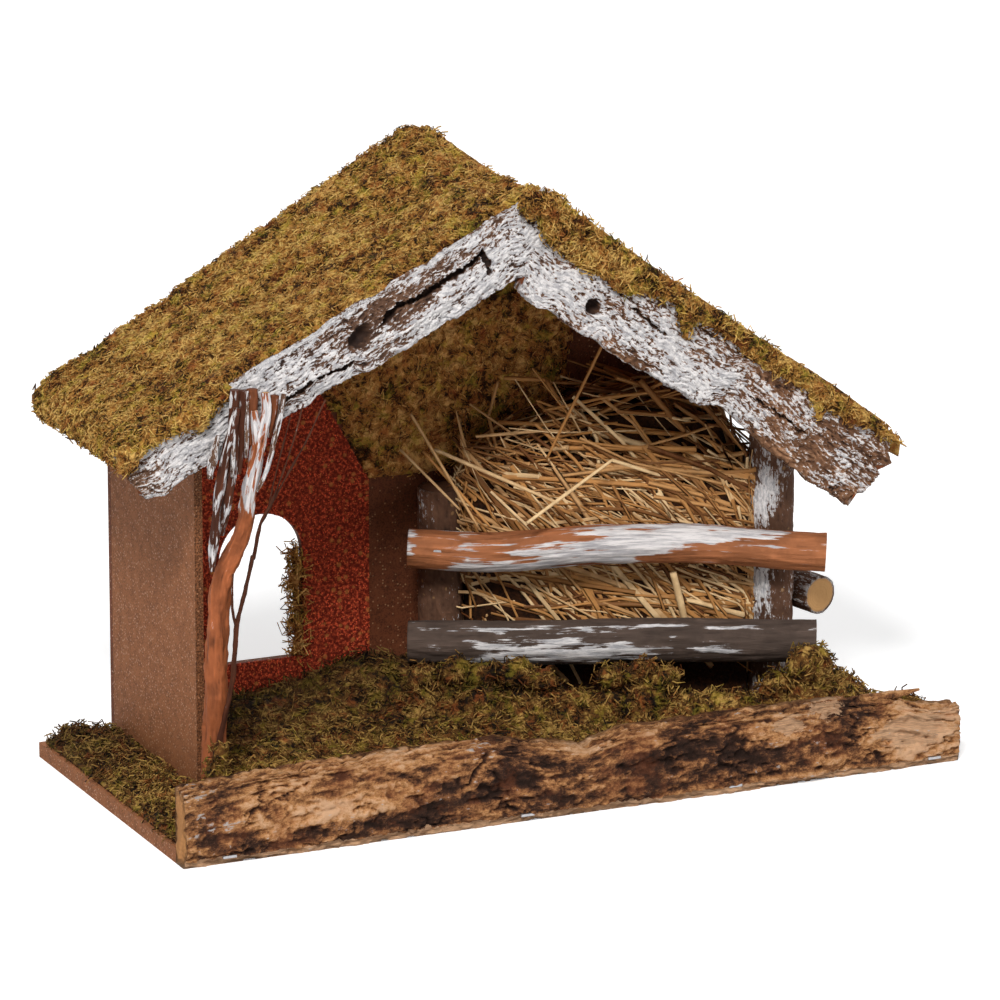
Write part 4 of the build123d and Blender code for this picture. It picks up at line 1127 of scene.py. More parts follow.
# Heights along the slab, and its section from the foot of the face to the top: depth and height
SLAB_STATIONS = (
    (0, 0.9), (0.10, 0.97), (0.27, 1), (0.39, 0.99), (0.46, 0.87), (0.51, 0.79),
    (0.56, 0.91), (0.70, 0.92), (0.83, 0.92), (0.92, 0.84), (0.955, 0.7), (1, 0.67),
)
SLAB_SECTION = (
    (0.8, 0), (0.95, 0.14), (1, 0.35), (0.98, 0.55), (0.92, 0.75), (0.8, 0.88), (0.62, 0.96), (0.3, 1),
)
# Places on the slab's front: along it, above the floor, half width and half height, and how strong they are
SLAB_DARK_SPOTS = (
    (-84, 7, 24, 4, 1), (-58, 11, 14, 7, 1), (-52, 25, 14, 3, 0.5), (-28, 17, 13, 9, 0.9),
    (-12, 8, 20, 5, 0.75), (22, 14, 22, 8, 0.65), (45, 20, 16, 7, 0.8), (66, 12, 20, 7, 0.9),
    (96, 15, 12, 5, 0.7), (108, 24, 10, 5, 0.7), (-132, 18, 12, 12, 0.25), (-136, 7, 12, 5, 0.4),
)
SLAB_LIGHT_SPOTS = (
    (-94, 15, 24, 6, 0.9), (-112, 26, 16, 4, 0.7), (-66, 29, 20, 3, 0.5), (2, 25, 10, 4, 1),
    (134, 13, 18, 9, 1.6),
)
SLAB_BARE_SPOTS = (
    (81, 22, 8, 4.5, 1), (97, 26, 8, 4, 1), (131, 14, 17, 7, 1.05), (-5, 28, 12, 2.5, 0.8),
)
SLAB_CRACKS = (
    ((-128, 17), (-116, 20), (-104, 26)), ((14, 15), (24, 16.5), (36, 15.5), (44, 17)),
    ((-36, 27), (-42, 20), (-46, 15)), ((52, 16), (60, 19), (72, 18)), ((-20, 21), (-6, 19)),
    ((96, 14), (106, 12), (112, 16)),
)
SPLINTER_RADII = (1.6, 1.8, 0.5)
SLAB_SPLINTER = ((112, -70.5, 27), (124.9, -68.5, 26.2), (136.6, -68, 26.8))


def spots_mark(x, z, spots):
    """Soft oval spots over a front face; the strongest counts."""
    total = np.zeros(x.shape)
    for middle_x, middle_z, half_x, half_z, strength in spots:
        gap = np.hypot((x - middle_x) / half_x, (z - middle_z) / half_z)
        total = np.maximum(total, strength * mound(gap, 0, 1))
    return total


class STABLE_OT_front_slab(bpy.types.Operator):
    """Carve the bark slab along the front edge"""

    bl_idname = "stable.front_slab"
    bl_label = "Front bark slab"
    bl_options = UNDOABLE

    def execute(self, context):
        sizes, colours = chosen(context)
        low, high = node_box("front_bark_slab")
        wide, deep, tall = high - low
        share = np.linspace(0, 1, SLAB_ROWS)
        back = np.column_stack([np.zeros(12), np.linspace(1, 0, 12)])
        under = np.column_stack([np.linspace(0.1, 0.7, 8), np.zeros(8)])
        section = np.vstack([smooth_run(SLAB_SECTION, SLAB_FACE), back, under])
        depth, level = section.T
        x = (low[0] + share * wide)[:, None]
        height = (np.interp(share, *zip(*SLAB_STATIONS)) * tall)[:, None]
        rings = stacked(x, high[1] - depth * deep, level * height)
        grain = stacked(x, run_along(section) * tall, depth * 10)
        order = np.arange(len(section))
        outer = order < SLAB_FACE
        crest = mound(order, SLAB_FACE - 4, 7)
        rings[..., 2] += crest * (rough_noise(grain / 6, 21, 4) - 0.55) * 4
        swell = grain_noise(grain, 30, 10, 31, 4) - 0.4
        x, z = rings[..., 0], rings[..., 2]
        bare = np.maximum(spots_mark(x, z, SLAB_BARE_SPOTS), 0.85 * steps(z, 3.8, 1.8))
        rings[..., 1] += outer * (swell * 4.5 + 0.9 * steps(bare, 0.5, 0.7))
        cells = bent_cells(grain, 7, 2.6, 3)
        bark = 0.66 + 1.5 * (rough_noise(cells, 3, 4) - 0.5) + 0.7 * (rough_noise(grain / 1.4, 9, 2) - 0.5)
        weak = steps(rough_noise(grain / 12, 8, 2), 0.46, 0.6)
        bark -= 0.6 * weak * (1 - crack_lines(cells * 0.5, 12, 0.045))
        # The drawn cracks dent the slab and darken its colour: partly its own colour, partly painted shade
        # in the cracks
        for number, line in enumerate(SLAB_CRACKS):
            jitter = (rough_noise(grain / 3, 60 + number, 3) - 0.5) * 4
            thin = 0.25 + 1.1 * rough_noise(grain / 4, 66 + number, 2)
            bark -= 0.6 * (1 - steps(line_gap(x, z + jitter, line), 0.1, thin))
        relief = np.where(outer, np.clip(bark, 0, 1), RELIEF_LEVEL)
        flakes = 0.42 * mound(np.hypot(x + 36, z - 29), 0, 6)
        marks = {
            "burn": spots_mark(x, z, SLAB_DARK_SPOTS),
            "light": spots_mark(x, z, SLAB_LIGHT_SPOTS),
            "bare": bare,
            "paint": 0.55 * mound(x, -142, 8) * mound(z, 17, 9) + flakes - 0.3,
        }
        shell = Shell()
        skin_shell(shell, rings, grain, relief, sizes.slab_relief / MM, marks, cap_rough=1.2)
        rings, grain = stick_rings(SLAB_SPLINTER, SPLINTER_RADII, 0.8, 12, UPWARD)
        relief = 0.4 + 0.5 * grain_noise(grain, 4, 0.8, 71, 3)
        levels = {"burn": 0.3, "light": 0.6, "bare": 0, "paint": -0.3}
        marks = {label: np.full(relief.shape, value) for label, value in levels.items()}
        skin_shell(shell, rings, grain, relief, 0.8, marks, cap_rows=2)
        piece = shell.piece("front_slab_bark", made_material("slab_skin", slab_material, colours))
        finish_piece(piece, "bark_slab", "front_bark_slab")
        return {"FINISHED"}


# Cracks of the planks: stations, half width, depth, and how far the bark above stands out
LEFT_FASCIA_CRACKS = (
    (((-57, 175.6), (-52, 181), (-41, 184), (-35.6, 187.7), (-25, 192.6), (-20.8, 197)), 1, 3.4, 1.6),
    (((-20.8, 197), (-18, 192.2), (-18, 189.5)), 0.7, 2, 0),
    (((-68.4, 169.4), (-66, 171.6)), 3.4, 4.2, 0),
    (((-96, 151), (-84, 157.5), (-70, 162)), 0.5, 1.4, 0.8),
)
RIGHT_FASCIA_CRACKS = (
    (((21.6, 172.8), (23, 171.8)), 2.2, 3.4, 0),
    (((38, 170), (46, 163), (51, 159.5)), 0.35, 1.4, 0.7),
    (((84, 133), (98, 124), (106, 117)), 0.3, 0.9, 0.7),
)
# Ways to the corners of the planks: low and top at one end, then at the other
LEFT_FASCIA_CORNERS = ((-0.5, -1), (-1, 0.3), (1, -0.6), (0.3, 1))
RIGHT_FASCIA_CORNERS = ((-1, -0.8), (-0.6, 1), (0.2, -1), (1, 0.2))
# What the left plank lacks at its low end, and the torn place in the right plank's lower edge
LEFT_END_CUT = 0.006
TEAR_HEIGHT = 6
TEAR_PLACE = 77
TEAR_HALF = 11
PLANK_STEP = 0.5
FRAYED_RUN = 12


def plank(name, corners, cut, tear, cracks, paint, seed, relief_depth, material):
    """One plank between its four corners, with frayed ends, cracks and a tear."""
    low_box, high_box = node_box(name)
    low_a, top_a, low_b, top_b = (node_corner(name, *way) for way in corners)
    low_a = low_a + cut * (low_b - low_a)
    top_a = top_a + cut * (top_b - top_a)
    reach = np.linalg.norm(top_b - top_a)
    rows = int(reach / PLANK_STEP)
    share = np.linspace(0, 1, rows)[:, None]
    low_line = low_a + (low_b - low_a) * share
    top_line = top_a + (top_b - top_a) * share
    spots = stacked(np.arange(rows) * 0.05, 0, 0)
    torn = tear * mound(low_line[:, 0], TEAR_PLACE, TEAR_HALF)
    low_line[:, 2] += (rough_noise(spots, seed + 40, 5) - 0.5) * 4.5 + torn
    top_line[:, 2] += (rough_noise(spots, seed + 50, 5) - 0.6) * 3
    rings, grain = plank_rings(low_line, top_line, low_box[1], high_box[1], PLANK_STEP)
    bark = furrows(grain, 4.6, 1.35, seed)
    front = rings[..., 1] < high_box[1] - 1
    rings[..., 1] += front * (grain_noise(grain, 24, 7, seed + 60, 4) - 0.35) * 3.6
    run, over = grain[..., 0], grain[..., 1] / grain[..., 1].max()
    frayed = (rough_noise(grain * np.array([0, 0.28, 0.1]), seed + 85, 3) - 0.5) * 9
    frayed = frayed + 9 * np.abs(over - 0.5) ** 2
    pull = steps(run, FRAYED_RUN, 0) - steps(run, run.max() - FRAYED_RUN, run.max())
    rings += (frayed * pull)[..., None] * ((top_b - top_a) / reach)
    x, z = rings[..., 0], rings[..., 2]
    jitter = (rough_noise(grain / 3, seed + 80, 3) - 0.5) * 2.4
    wander = 0.35 + 1.1 * rough_noise(grain / 5, seed + 90, 3)
    for line, width, depth, layer in cracks:
        groove = 1 - steps(line_gap(x, z + jitter, line), 0.2 * (width * wander), 1.4 * (width * wander))
        rings[..., 1] += front * groove * depth
        # The groove also darkens the bark's colour along the crack: partly its own colour, partly painted
        # shade
        bark *= 1 - 0.8 * groove
        over_x, over_z = zip(*line)
        above = steps(z - np.interp(x, over_x, over_z), 0, 1.2) * steps(x, over_x[0], over_x[0] + 8)
        rings[..., 1] -= front * layer * above * steps(x, over_x[-1] + 6, over_x[-1] - 2)
    relief = np.where(front, bark, 0.72)
    drift = grain_noise(grain, 26, 9, seed + 70, 3) - 0.5
    marks = {"paint": np.where(front, paint(x, z) + drift * 1.2, 0.2)}
    shell = Shell()
    skin_shell(shell, rings, grain, relief, relief_depth, marks, cap_rough=1)
    finish_piece(shell.piece(name + "_plank", material), "whitewashed_bark", name)


def left_plank_paint(x, z):
    """Well covered, with brown bark left under the long crack and at the ridge."""
    cracked = spots_mark(x, z, [(-36, 181, 16, 4, 0.25)])
    return 0.56 - cracked - spots_mark(x, z, [(-14, 201, 9, 5, 0.25)])


def right_plank_paint(x, z):
    """Covered at the ridge, brown towards the eave."""
    return 0.4 - 0.1 * steps(x, 60, 128) - 0.06 * mound(x, 40, 16)


class STABLE_OT_fascias(bpy.types.Operator):
    """Carve the whitewashed bark planks on the front of the roof"""

    bl_idname = "stable.fascias"
    bl_label = "Whitewashed fascias"
    bl_options = UNDOABLE

    def execute(self, context):
        sizes, colours = chosen(context)
        depth = sizes.fascia_relief / MM
        grey = made_material("whitewashed_skin", whitewash_material, colours, GREY_BARK)
        tan = made_material("torn_whitewash", whitewash_material, colours, TAN_BARK)
        left = LEFT_FASCIA_CORNERS, LEFT_END_CUT, 0, LEFT_FASCIA_CRACKS, left_plank_paint, 5
        right = RIGHT_FASCIA_CORNERS, 0, TEAR_HEIGHT, RIGHT_FASCIA_CRACKS, right_plank_paint, 9
        plank("left_fascia_bark", *left, depth, grey)
        plank("right_fascia_bark", *right, depth, tan)
        return {"FINISHED"}


POST_STATIONS = 7
UPPER_RAIL_RADII = (7.2, 7.4, 7.3, 7, 7.1)
LOWER_RAIL_RADII = (8, 8.3, 8.2, 8.1, 7.8)
# Sway of the rails: place along each one, and its rise or fall
UPPER_RAIL_SWAY = ((0, -0.92), (0.2, -2.07), (0.45, 1.15), (0.7, 2.07), (0.88, 0.23), (1, -0.69))
LOWER_RAIL_SWAY = ((0, 0), (0.3, -0.575), (0.6, 0.46), (1, 0))
SIDE_RAIL_SWAY = ((0, 0), (0.5, 0.2), (1, 0))
# Upper and lower rail: diameter, reach past the left and the right post, and heights of the ends
UPPER_RAIL = (14.6, 11, 20, 70, 70)
LOWER_RAIL = (16.4, 11, 17, 34, 36.2)
# White swath of the upper rail: places along it, its middle and its half width round the rail
SWATH_PLACES = (0.12, 0.3, 0.45, 0.6, 0.75, 0.95)
SWATH_MIDDLES = (-1, -0.8, -0.15, 0.55, 0.95, 1.25)
SWATH_WIDTH_PLACES = (0.1, 0.3, 0.45, 0.6, 0.75, 0.95)
SWATH_WIDTHS = (0.75, 1.05, 1.4, 1.15, 0.8, 0.4)


def post(name, paint, sizes, material):
    """An upright round post."""
    low, high = node_box(name)
    middle = (low + high) / 2
    radius = (high[0] - low[0]) / 2
    stations = stacked(middle[0], middle[1], np.linspace(low[2], high[2], POST_STATIONS))
    rings, grain = stick_rings(stations, [radius] * POST_STATIONS, 0.7, 64, BACKWARD)
    relief = 0.6 + 0.75 * (furrows(grain, 9, 2.6, 13) - 0.55)
    shell = Shell()
    skin_shell(shell, rings, grain, relief, sizes.post_relief / MM, {"paint": paint(rings[..., 2], grain)})
    finish_piece(shell.piece(name + "_bark", material), "dark_bark", name)


def rail(name, finish, slot, ends, radii, sway, paint, seed, relief_depth, material):
    """A round rail between two end points, with its gentle sway."""
    start, end = (np.asarray(point, float) for point in ends)
    shares, moves = np.array(sway).T
    stations = start + (end - start) * shares[:, None]
    stations[:, 2] += moves
    rings, grain = stick_rings(stations, radii, 0.75, 60, UPWARD)
    relief = 0.15 + 0.85 * grain_noise(grain, 11, 1.5, seed, 4)
    share = grain[..., 0] / grain[..., 0].max()
    turn = np.arctan2(grain[..., 2], grain[..., 1])
    shell = Shell()
    skin_shell(shell, rings, grain, relief, relief_depth, {"paint": paint(share, turn)})
    finish_piece(shell.piece(name + finish, material), slot, name)


def left_post_paint(height, grain):
    """Greyish drift over the bark."""
    return 0.04 + 0.7 * (grain_noise(grain, 9, 5, 83, 3) - 0.5)


def right_post_paint(height, grain):
    """Two brushed patches on the side that faces the pen."""
    turn = np.arctan2(grain[..., 2], grain[..., 1])
    upper = mound(height, 88, 8) * mound(turn, -0.75, 0.75)
    lower = mound(height, 54, 13) * mound(turn, -0.7, 0.45)
    return 0.14 + 0.6 * (upper + lower)


def swath(share, turn):
    """White swath that climbs from the lower side to the top, and a chipped end."""
    middle = np.interp(share, SWATH_PLACES, SWATH_MIDDLES)
    half = np.interp(share, SWATH_WIDTH_PLACES, SWATH_WIDTHS)
    climb = mound(turn, middle, half) * steps(share, 0.06, 0.18) * steps(share, 0.97, 0.84)
    smudge = 0.24 * mound(share, 0.13, 0.04)
    return 0.1 + 0.72 * climb + smudge + 0.4 * steps(share, 0.035, 0)


def streaks(share, turn):
    """White streaks on the lower front, thin ones along the top and a few near the right end."""
    main = mound(turn, -0.3, 0.85) * steps(share, 0.1, 0.22) * steps(share, 0.68, 0.5)
    right = mound(turn, -0.2, 0.4) * mound(share, 0.76, 0.07)
    right = right + 0.5 * mound(turn, 0.2, 0.7) * mound(share, 0.645, 0.012)
    return 0.06 + 0.6 * main + 0.5 * right + 0.3 * mound(turn, 0.95, 0.16)


def thin_coat(share, turn):
    """Even thin paint."""
    return np.full(share.shape, 0.3)


class STABLE_OT_fence(bpy.types.Operator):
    """Dress the two posts, the fence rails and the side rail"""

    bl_idname = "stable.fence"
    bl_label = "Posts and rails"
    bl_options = UNDOABLE

    def execute(self, context):
        sizes, colours = chosen(context)
        dark = colours.bark_crack, colours.post_bark, scaled(colours.post_bark, 1.5)
        bark = made_material("post_skin", bark_material, colours, dark, 1.6, lichen=0.05, sawn=dark[2])
        post("left_fence_post", left_post_paint, sizes, bark)
        post("right_corner_post", right_post_paint, sizes, bark)

        left, along, ahead, reach, post_radius = fence_axes()
        depth = sizes.rail_relief / MM

        def rail_ends(diameter, before, after, start_height, end_height):
            """End points of a rail that lies against the front of both posts."""
            out = post_radius + GLUE_GAP + diameter / 2
            start = left + ahead * out - along * before
            end = left + ahead * out + along * (reach + after)
            return (*start, start_height), (*end, end_height)

        wood = bark_tones(colours.rail_wood, 0.35, 1.5)
        stripped = made_material("stripped_rail", bark_material, colours, wood, 0.5, rough=0.7, fibre=0.07)
        upper = rail_ends(*UPPER_RAIL), UPPER_RAIL_RADII, UPPER_RAIL_SWAY, swath, 31
        rail("upper_fence_rail", "_wood", "stripped_wood", *upper, depth, stripped)
        rail_bark = bark_tones(colours.rail_bark, 0.35, 1.6)
        streaked = made_material("streaked_rail", bark_material, colours, rail_bark, 0.7, fibre=0.12)
        lower = rail_ends(*LOWER_RAIL), LOWER_RAIL_RADII, LOWER_RAIL_SWAY, streaks, 41
        rail("lower_fence_rail", "_bark", "dark_bark", *lower, depth, streaked)
        skin = made_material("side_rail_skin", bark_material, colours, dark, 1.6)
        low, high = node_box("side_rail")
        middle = (low[2] + high[2]) / 2
        radius = (high[2] - low[2]) / 2
        ends = (high[0] - radius - 0.3, low[1] + 1.6, middle), (low[0] + radius, high[1] - 1, middle)
        radii = [radius * 0.99, radius, radius * 0.98]
        side = ends, radii, SIDE_RAIL_SWAY, thin_coat, 51
        rail("side_rail", "_bark", "dark_bark", *side, depth, skin)
        return {"FINISHED"}


# Sticks of the little tree: stations along each one, and its radii
TREE_STEM = (
    ((-117.6, -21.5, 5.5), (-118.2, -22.6, 22), (-117.6, -23.2, 40), (-116.8, -24.3, 64),
     (-115.9, -26.6, 86), (-112.4, -30, 98), (-109.9, -34, 109.3), (-109.9, -38, 121),
     (-107.3, -41, 138.4), (-104.6, -41, 149), (-104.4, -40.4, 156.3)),
    (4.3, 4.2, 4.1, 3.9, 3.8, 3.3, 2.9, 2.7, 2.5, 1.9, 1.8),
)
TREE_STEM_TIP = (((-107.6, -41, 137), (-108.5, -41.2, 144.2), (-108.8, -41, 150.5)), (2, 1.8, 1.2))
TREE_RED_STRIPS = (
    (((-109.6, -39.2, 138), (-109, -39.2, 148.4), (-108.6, -39, 157.5)), (1.7, 2.1, 2.1)),
    (((-103, -39.2, 140), (-101.3, -39.4, 147.5), (-100.3, -39, 154.5)), (1.2, 1.6, 1.7)),
)
TREE_DARK_STRIPS = (
    (((-119.8, -35, 106), (-118.4, -38.6, 119), (-116.9, -39.4, 129.8), (-115.9, -39.4, 143.9),
      (-115.1, -39, 158)), (1.6, 1.9, 2, 2, 2)),
    (((-114.4, -39.2, 128), (-112.8, -39.2, 143.5), (-111.9, -39, 157.5)), (1.1, 1.6, 1.7)),
)
TREE_LEFT_ARM = (
    ((-123.8, -37.4, 94), (-123.3, -38.8, 106), (-122.8, -39.6, 116), (-121.6, -40.6, 126),
     (-119.8, -41.2, 136), (-117.6, -41.2, 144), (-115.2, -40.4, 152)),
    (1.2, 2, 1.5, 2, 1.9, 1.7, 1.4),
)
TREE_WHITE_TWIGS = (
    (((-108.3, -41.4, 121.5), (-105.9, -42.2, 127.1), (-103.4, -42, 133.5), (-100.1, -41.4, 145.4),
      (-97.6, -40.4, 155)), (0.5, 0.7, 1, 1, 1.1)),
    (((-112.3, -41.4, 134), (-111.9, -41.6, 145.6), (-111.5, -41, 154)), (0.6, 0.9, 0.8)),
    (((-125.8, -41.2, 128), (-124.6, -41.2, 134.6), (-122.2, -40.4, 143)), (1.2, 1.8, 0.9)),
    (((-117.8, -42, 128), (-117.2, -42, 138), (-116.4, -41.4, 150)), (0.6, 0.9, 0.8)),
)
THIN_TWIG = (
    ((-120.6, -27, 5.5), (-118.1, -27.2, 26.4), (-115.9, -27.6, 36), (-113.4, -28.4, 48),
     (-112.3, -29.2, 60), (-111.8, -30, 71), (-109.1, -31.5, 83.7), (-106.6, -33, 96.1)),
    (1, 1.1, 1.1, 1.1, 1.05, 1, 0.95, 0.9),
)
THIN_SPRIGS = (
    (((-111.9, -30, 69), (-113.6, -30.8, 77.1), (-113.6, -31.6, 90)), (0.7, 0.6, 0.4)),
    (((-106.6, -33, 95), (-105.4, -37.6, 109), (-102.2, -40.2, 117.5), (-95.7, -41.4, 134.9),
      (-89.9, -39.4, 150.5)), (0.85, 0.7, 0.5, 0.42, 0.4)),
    (((-105.4, -37.4, 108.6), (-97.3, -40.4, 124.8), (-89.7, -41.4, 137.8), (-81.7, -39.4, 151)),
     (0.6, 0.5, 0.45, 0.4)),
    (((-103.5, -39.2, 114.6), (-99.5, -41.4, 133.6), (-95.2, -40.4, 146.5)), (0.45, 0.4, 0.4)),
)
# Heights between which the trunk's paint sets in, and the paint below them
FORK_HEIGHTS = (109, 119)
TRUNK_PAINT = 0.02


class STABLE_OT_tree(bpy.types.Operator):
    """Dress the forked little tree and its twigs"""

    bl_idname = "stable.tree"
    bl_label = "Little tree"
    bl_options = UNDOABLE

    def execute(self, context):
        sizes, colours = chosen(context)
        red = colours.trunk_dark, colours.trunk_red, scaled(colours.trunk_red, 1.55)
        dark = bark_tones(colours.trunk_dark, 0.5, 1.7)
        faded = bark_tones(scaled(colours.trunk_red, 0.45), 0.4, 1.4)
        dry = {"rough": 0.7, "fibre": 0.12}
        trunk = made_material("twig_skin", bark_material, colours, red, 1.2, rough=0.6, fibre=0.1)
        white = made_material("whitewashed_skin", whitewash_material, colours, GREY_BARK)
        strip = made_material("strip_skin", bark_material, colours, dark, 1.2, sawn=dark[1], **dry)
        red_strip = made_material("red_strip_skin", bark_material, colours, faded, 1.2, sawn=faded[1], **dry)
        plain, painted = "twig_bark", "whitewashed_bark"
        # Each piece: its finish, the node it replaces, sticks, faces round them, paint, material and seed
        pieces = {
            "tree_trunk_stem": (plain, "tree_trunk", [TREE_STEM, TREE_STEM_TIP], 30, (0.58, 0.6), trunk, 61),
            "tree_red_strips": (plain, None, TREE_RED_STRIPS, 16, (0.12, 0.7), red_strip, 62),
            "tree_dark_strips": (plain, None, TREE_DARK_STRIPS, 16, (0.2, 0.9), strip, 64),
            "tree_left_arm": (painted, "tree_left_branch", [TREE_LEFT_ARM], 22, (0.34, 1.3), strip, 63),
            "tree_upper_twigs": (painted, "tree_twigs", TREE_WHITE_TWIGS, 16, (0.52, 0.9), white, 65),
            "thin_twig_stem": (plain, "thin_dark_twig", [THIN_TWIG, *THIN_SPRIGS], 8, (0, 0), strip, 67),
        }
        for label, (slot, node, sticks, columns, (level, swing), material, seed) in pieces.items():
            shell = Shell()
            for stations, radii in sticks:
                rings, grain = stick_rings(stations, radii, 0.55, columns, BACKWARD)
                knots = grain_noise(grain, 7, 1.6, seed + 3, 3) - 0.5
                middle = rings.mean(axis=1, keepdims=True)
                rings = middle + (rings - middle) * (1 + 0.6 * knots)[..., None]
                relief = 0.05 + grain_noise(grain, 6, 0.9, seed, 4)
                paint = level + swing * (rough_noise(rings / np.array([2.5, 2.5, 5]), 87, 3) - 0.5)
                if material is trunk:
                    paint = TRUNK_PAINT + steps(rings[..., 2], *FORK_HEIGHTS) * paint
                skin_shell(shell, rings, grain, relief, sizes.twig_relief / MM, {"paint": paint}, cap_rows=3)
            finish_piece(shell.piece(label, material), slot, *([node] if node else []))
        return {"FINISHED"}


# Strands on each square metre of the mats and clumps
MOSS_DENSITY = {
    "left_roof_moss_mat": 480000.0,
    "left_roof_moss_curls": 680000.0,
    "right_roof_moss_mat": 470000.0,
    "roof_moss_fringe": 1700000.0,
    "floor_moss_mat": 215000.0,
    "floor_moss_curls": 290000.0,
    "left_strip_moss_mat": 900000.0,
    "right_strip_moss_mat": 800000.0,
    "back_wall_moss_mat": 560000.0,
    "arch_edge_tuft": 1500000.0,
}


def moss_piece(shell, label, slot, nodes, moss, strand, tilt, seed, sizes, ground=True, bend=None):
    """Grows strands on a mat and its clumps; without its ground, only the strands are kept."""
    piece = shell.piece(label, moss)
    values = {"Density": MOSS_DENSITY[label], "Length": strand, "Radius": sizes.strand_radius, "Tilt": tilt}
    values.update({"Ground": ground, "Seed": seed, "Material": moss})
    grow_on(piece, moss_strands, values, bend)
    finish_piece(piece, slot, *nodes)


UNDERSIDE = 0.1


def eased(rise, gap, lowest):
    """Underside and top of a mat on a flat face, lower towards its edges."""
    return UNDERSIDE, np.maximum(lowest, rise * (0.3 + 0.7 * steps(gap, 0, 5)))


# How far the moss hangs over the fascias: place along the roof, and drop below the fascia's top
LEFT_FRINGE = (
    (-157, 5), (-151, 6), (-147, 2.5), (-141, 3), (-130, 5), (-126, 9), (-122, 3), (-115, 0.5),
)
RIGHT_FRINGE = (
    (6, 15), (12, 18), (25, 17), (35, 16), (43, 10.5), (54, 8), (58, 17), (62, 8), (72, 5.5),
    (86, 7.5), (97, 6), (107, 4.5), (110.5, 13), (114, 5.5), (121, 5), (133, 2), (143, 1),
)
# Moss over the joint of the two planks
RIDGE_LUMPS = (
    (-3, -38, 212.5), (1.5, -38.5, 212), (5.5, -38.5, 209.5), (4.5, -38.5, 204.5), (7.5, -38, 200.5),
    (9, -38, 206),
)


def fringe(shell, slope, ridge_x, top_z, drops, seed):
    """Ragged band of moss that hangs over the front of a fascia."""
    front = node_box("left_fascia_bark")[0][1]
    x, drop = np.array(drops, float).T
    top = top_z - np.abs(x - ridge_x) * slope
    upper = stacked(x, top + 2 - 2 * mound(x, 42, 32))
    lower = stacked(x, top - drop)

    def band_place(x, z, out):
        return stacked(x, front - out, z)

    def band_height(x, z, gap):
        lumps = rough_noise(stacked(x, z, 0) / 3.5, seed, 3)
        return -2.4, 0.6 + 4.2 * lumps * steps(gap, 0, 3)

    mat_shell(shell, wavy(np.vstack([upper, lower[::-1]]), 2.5, 1.3, seed), [], 0.9, band_height, band_place)


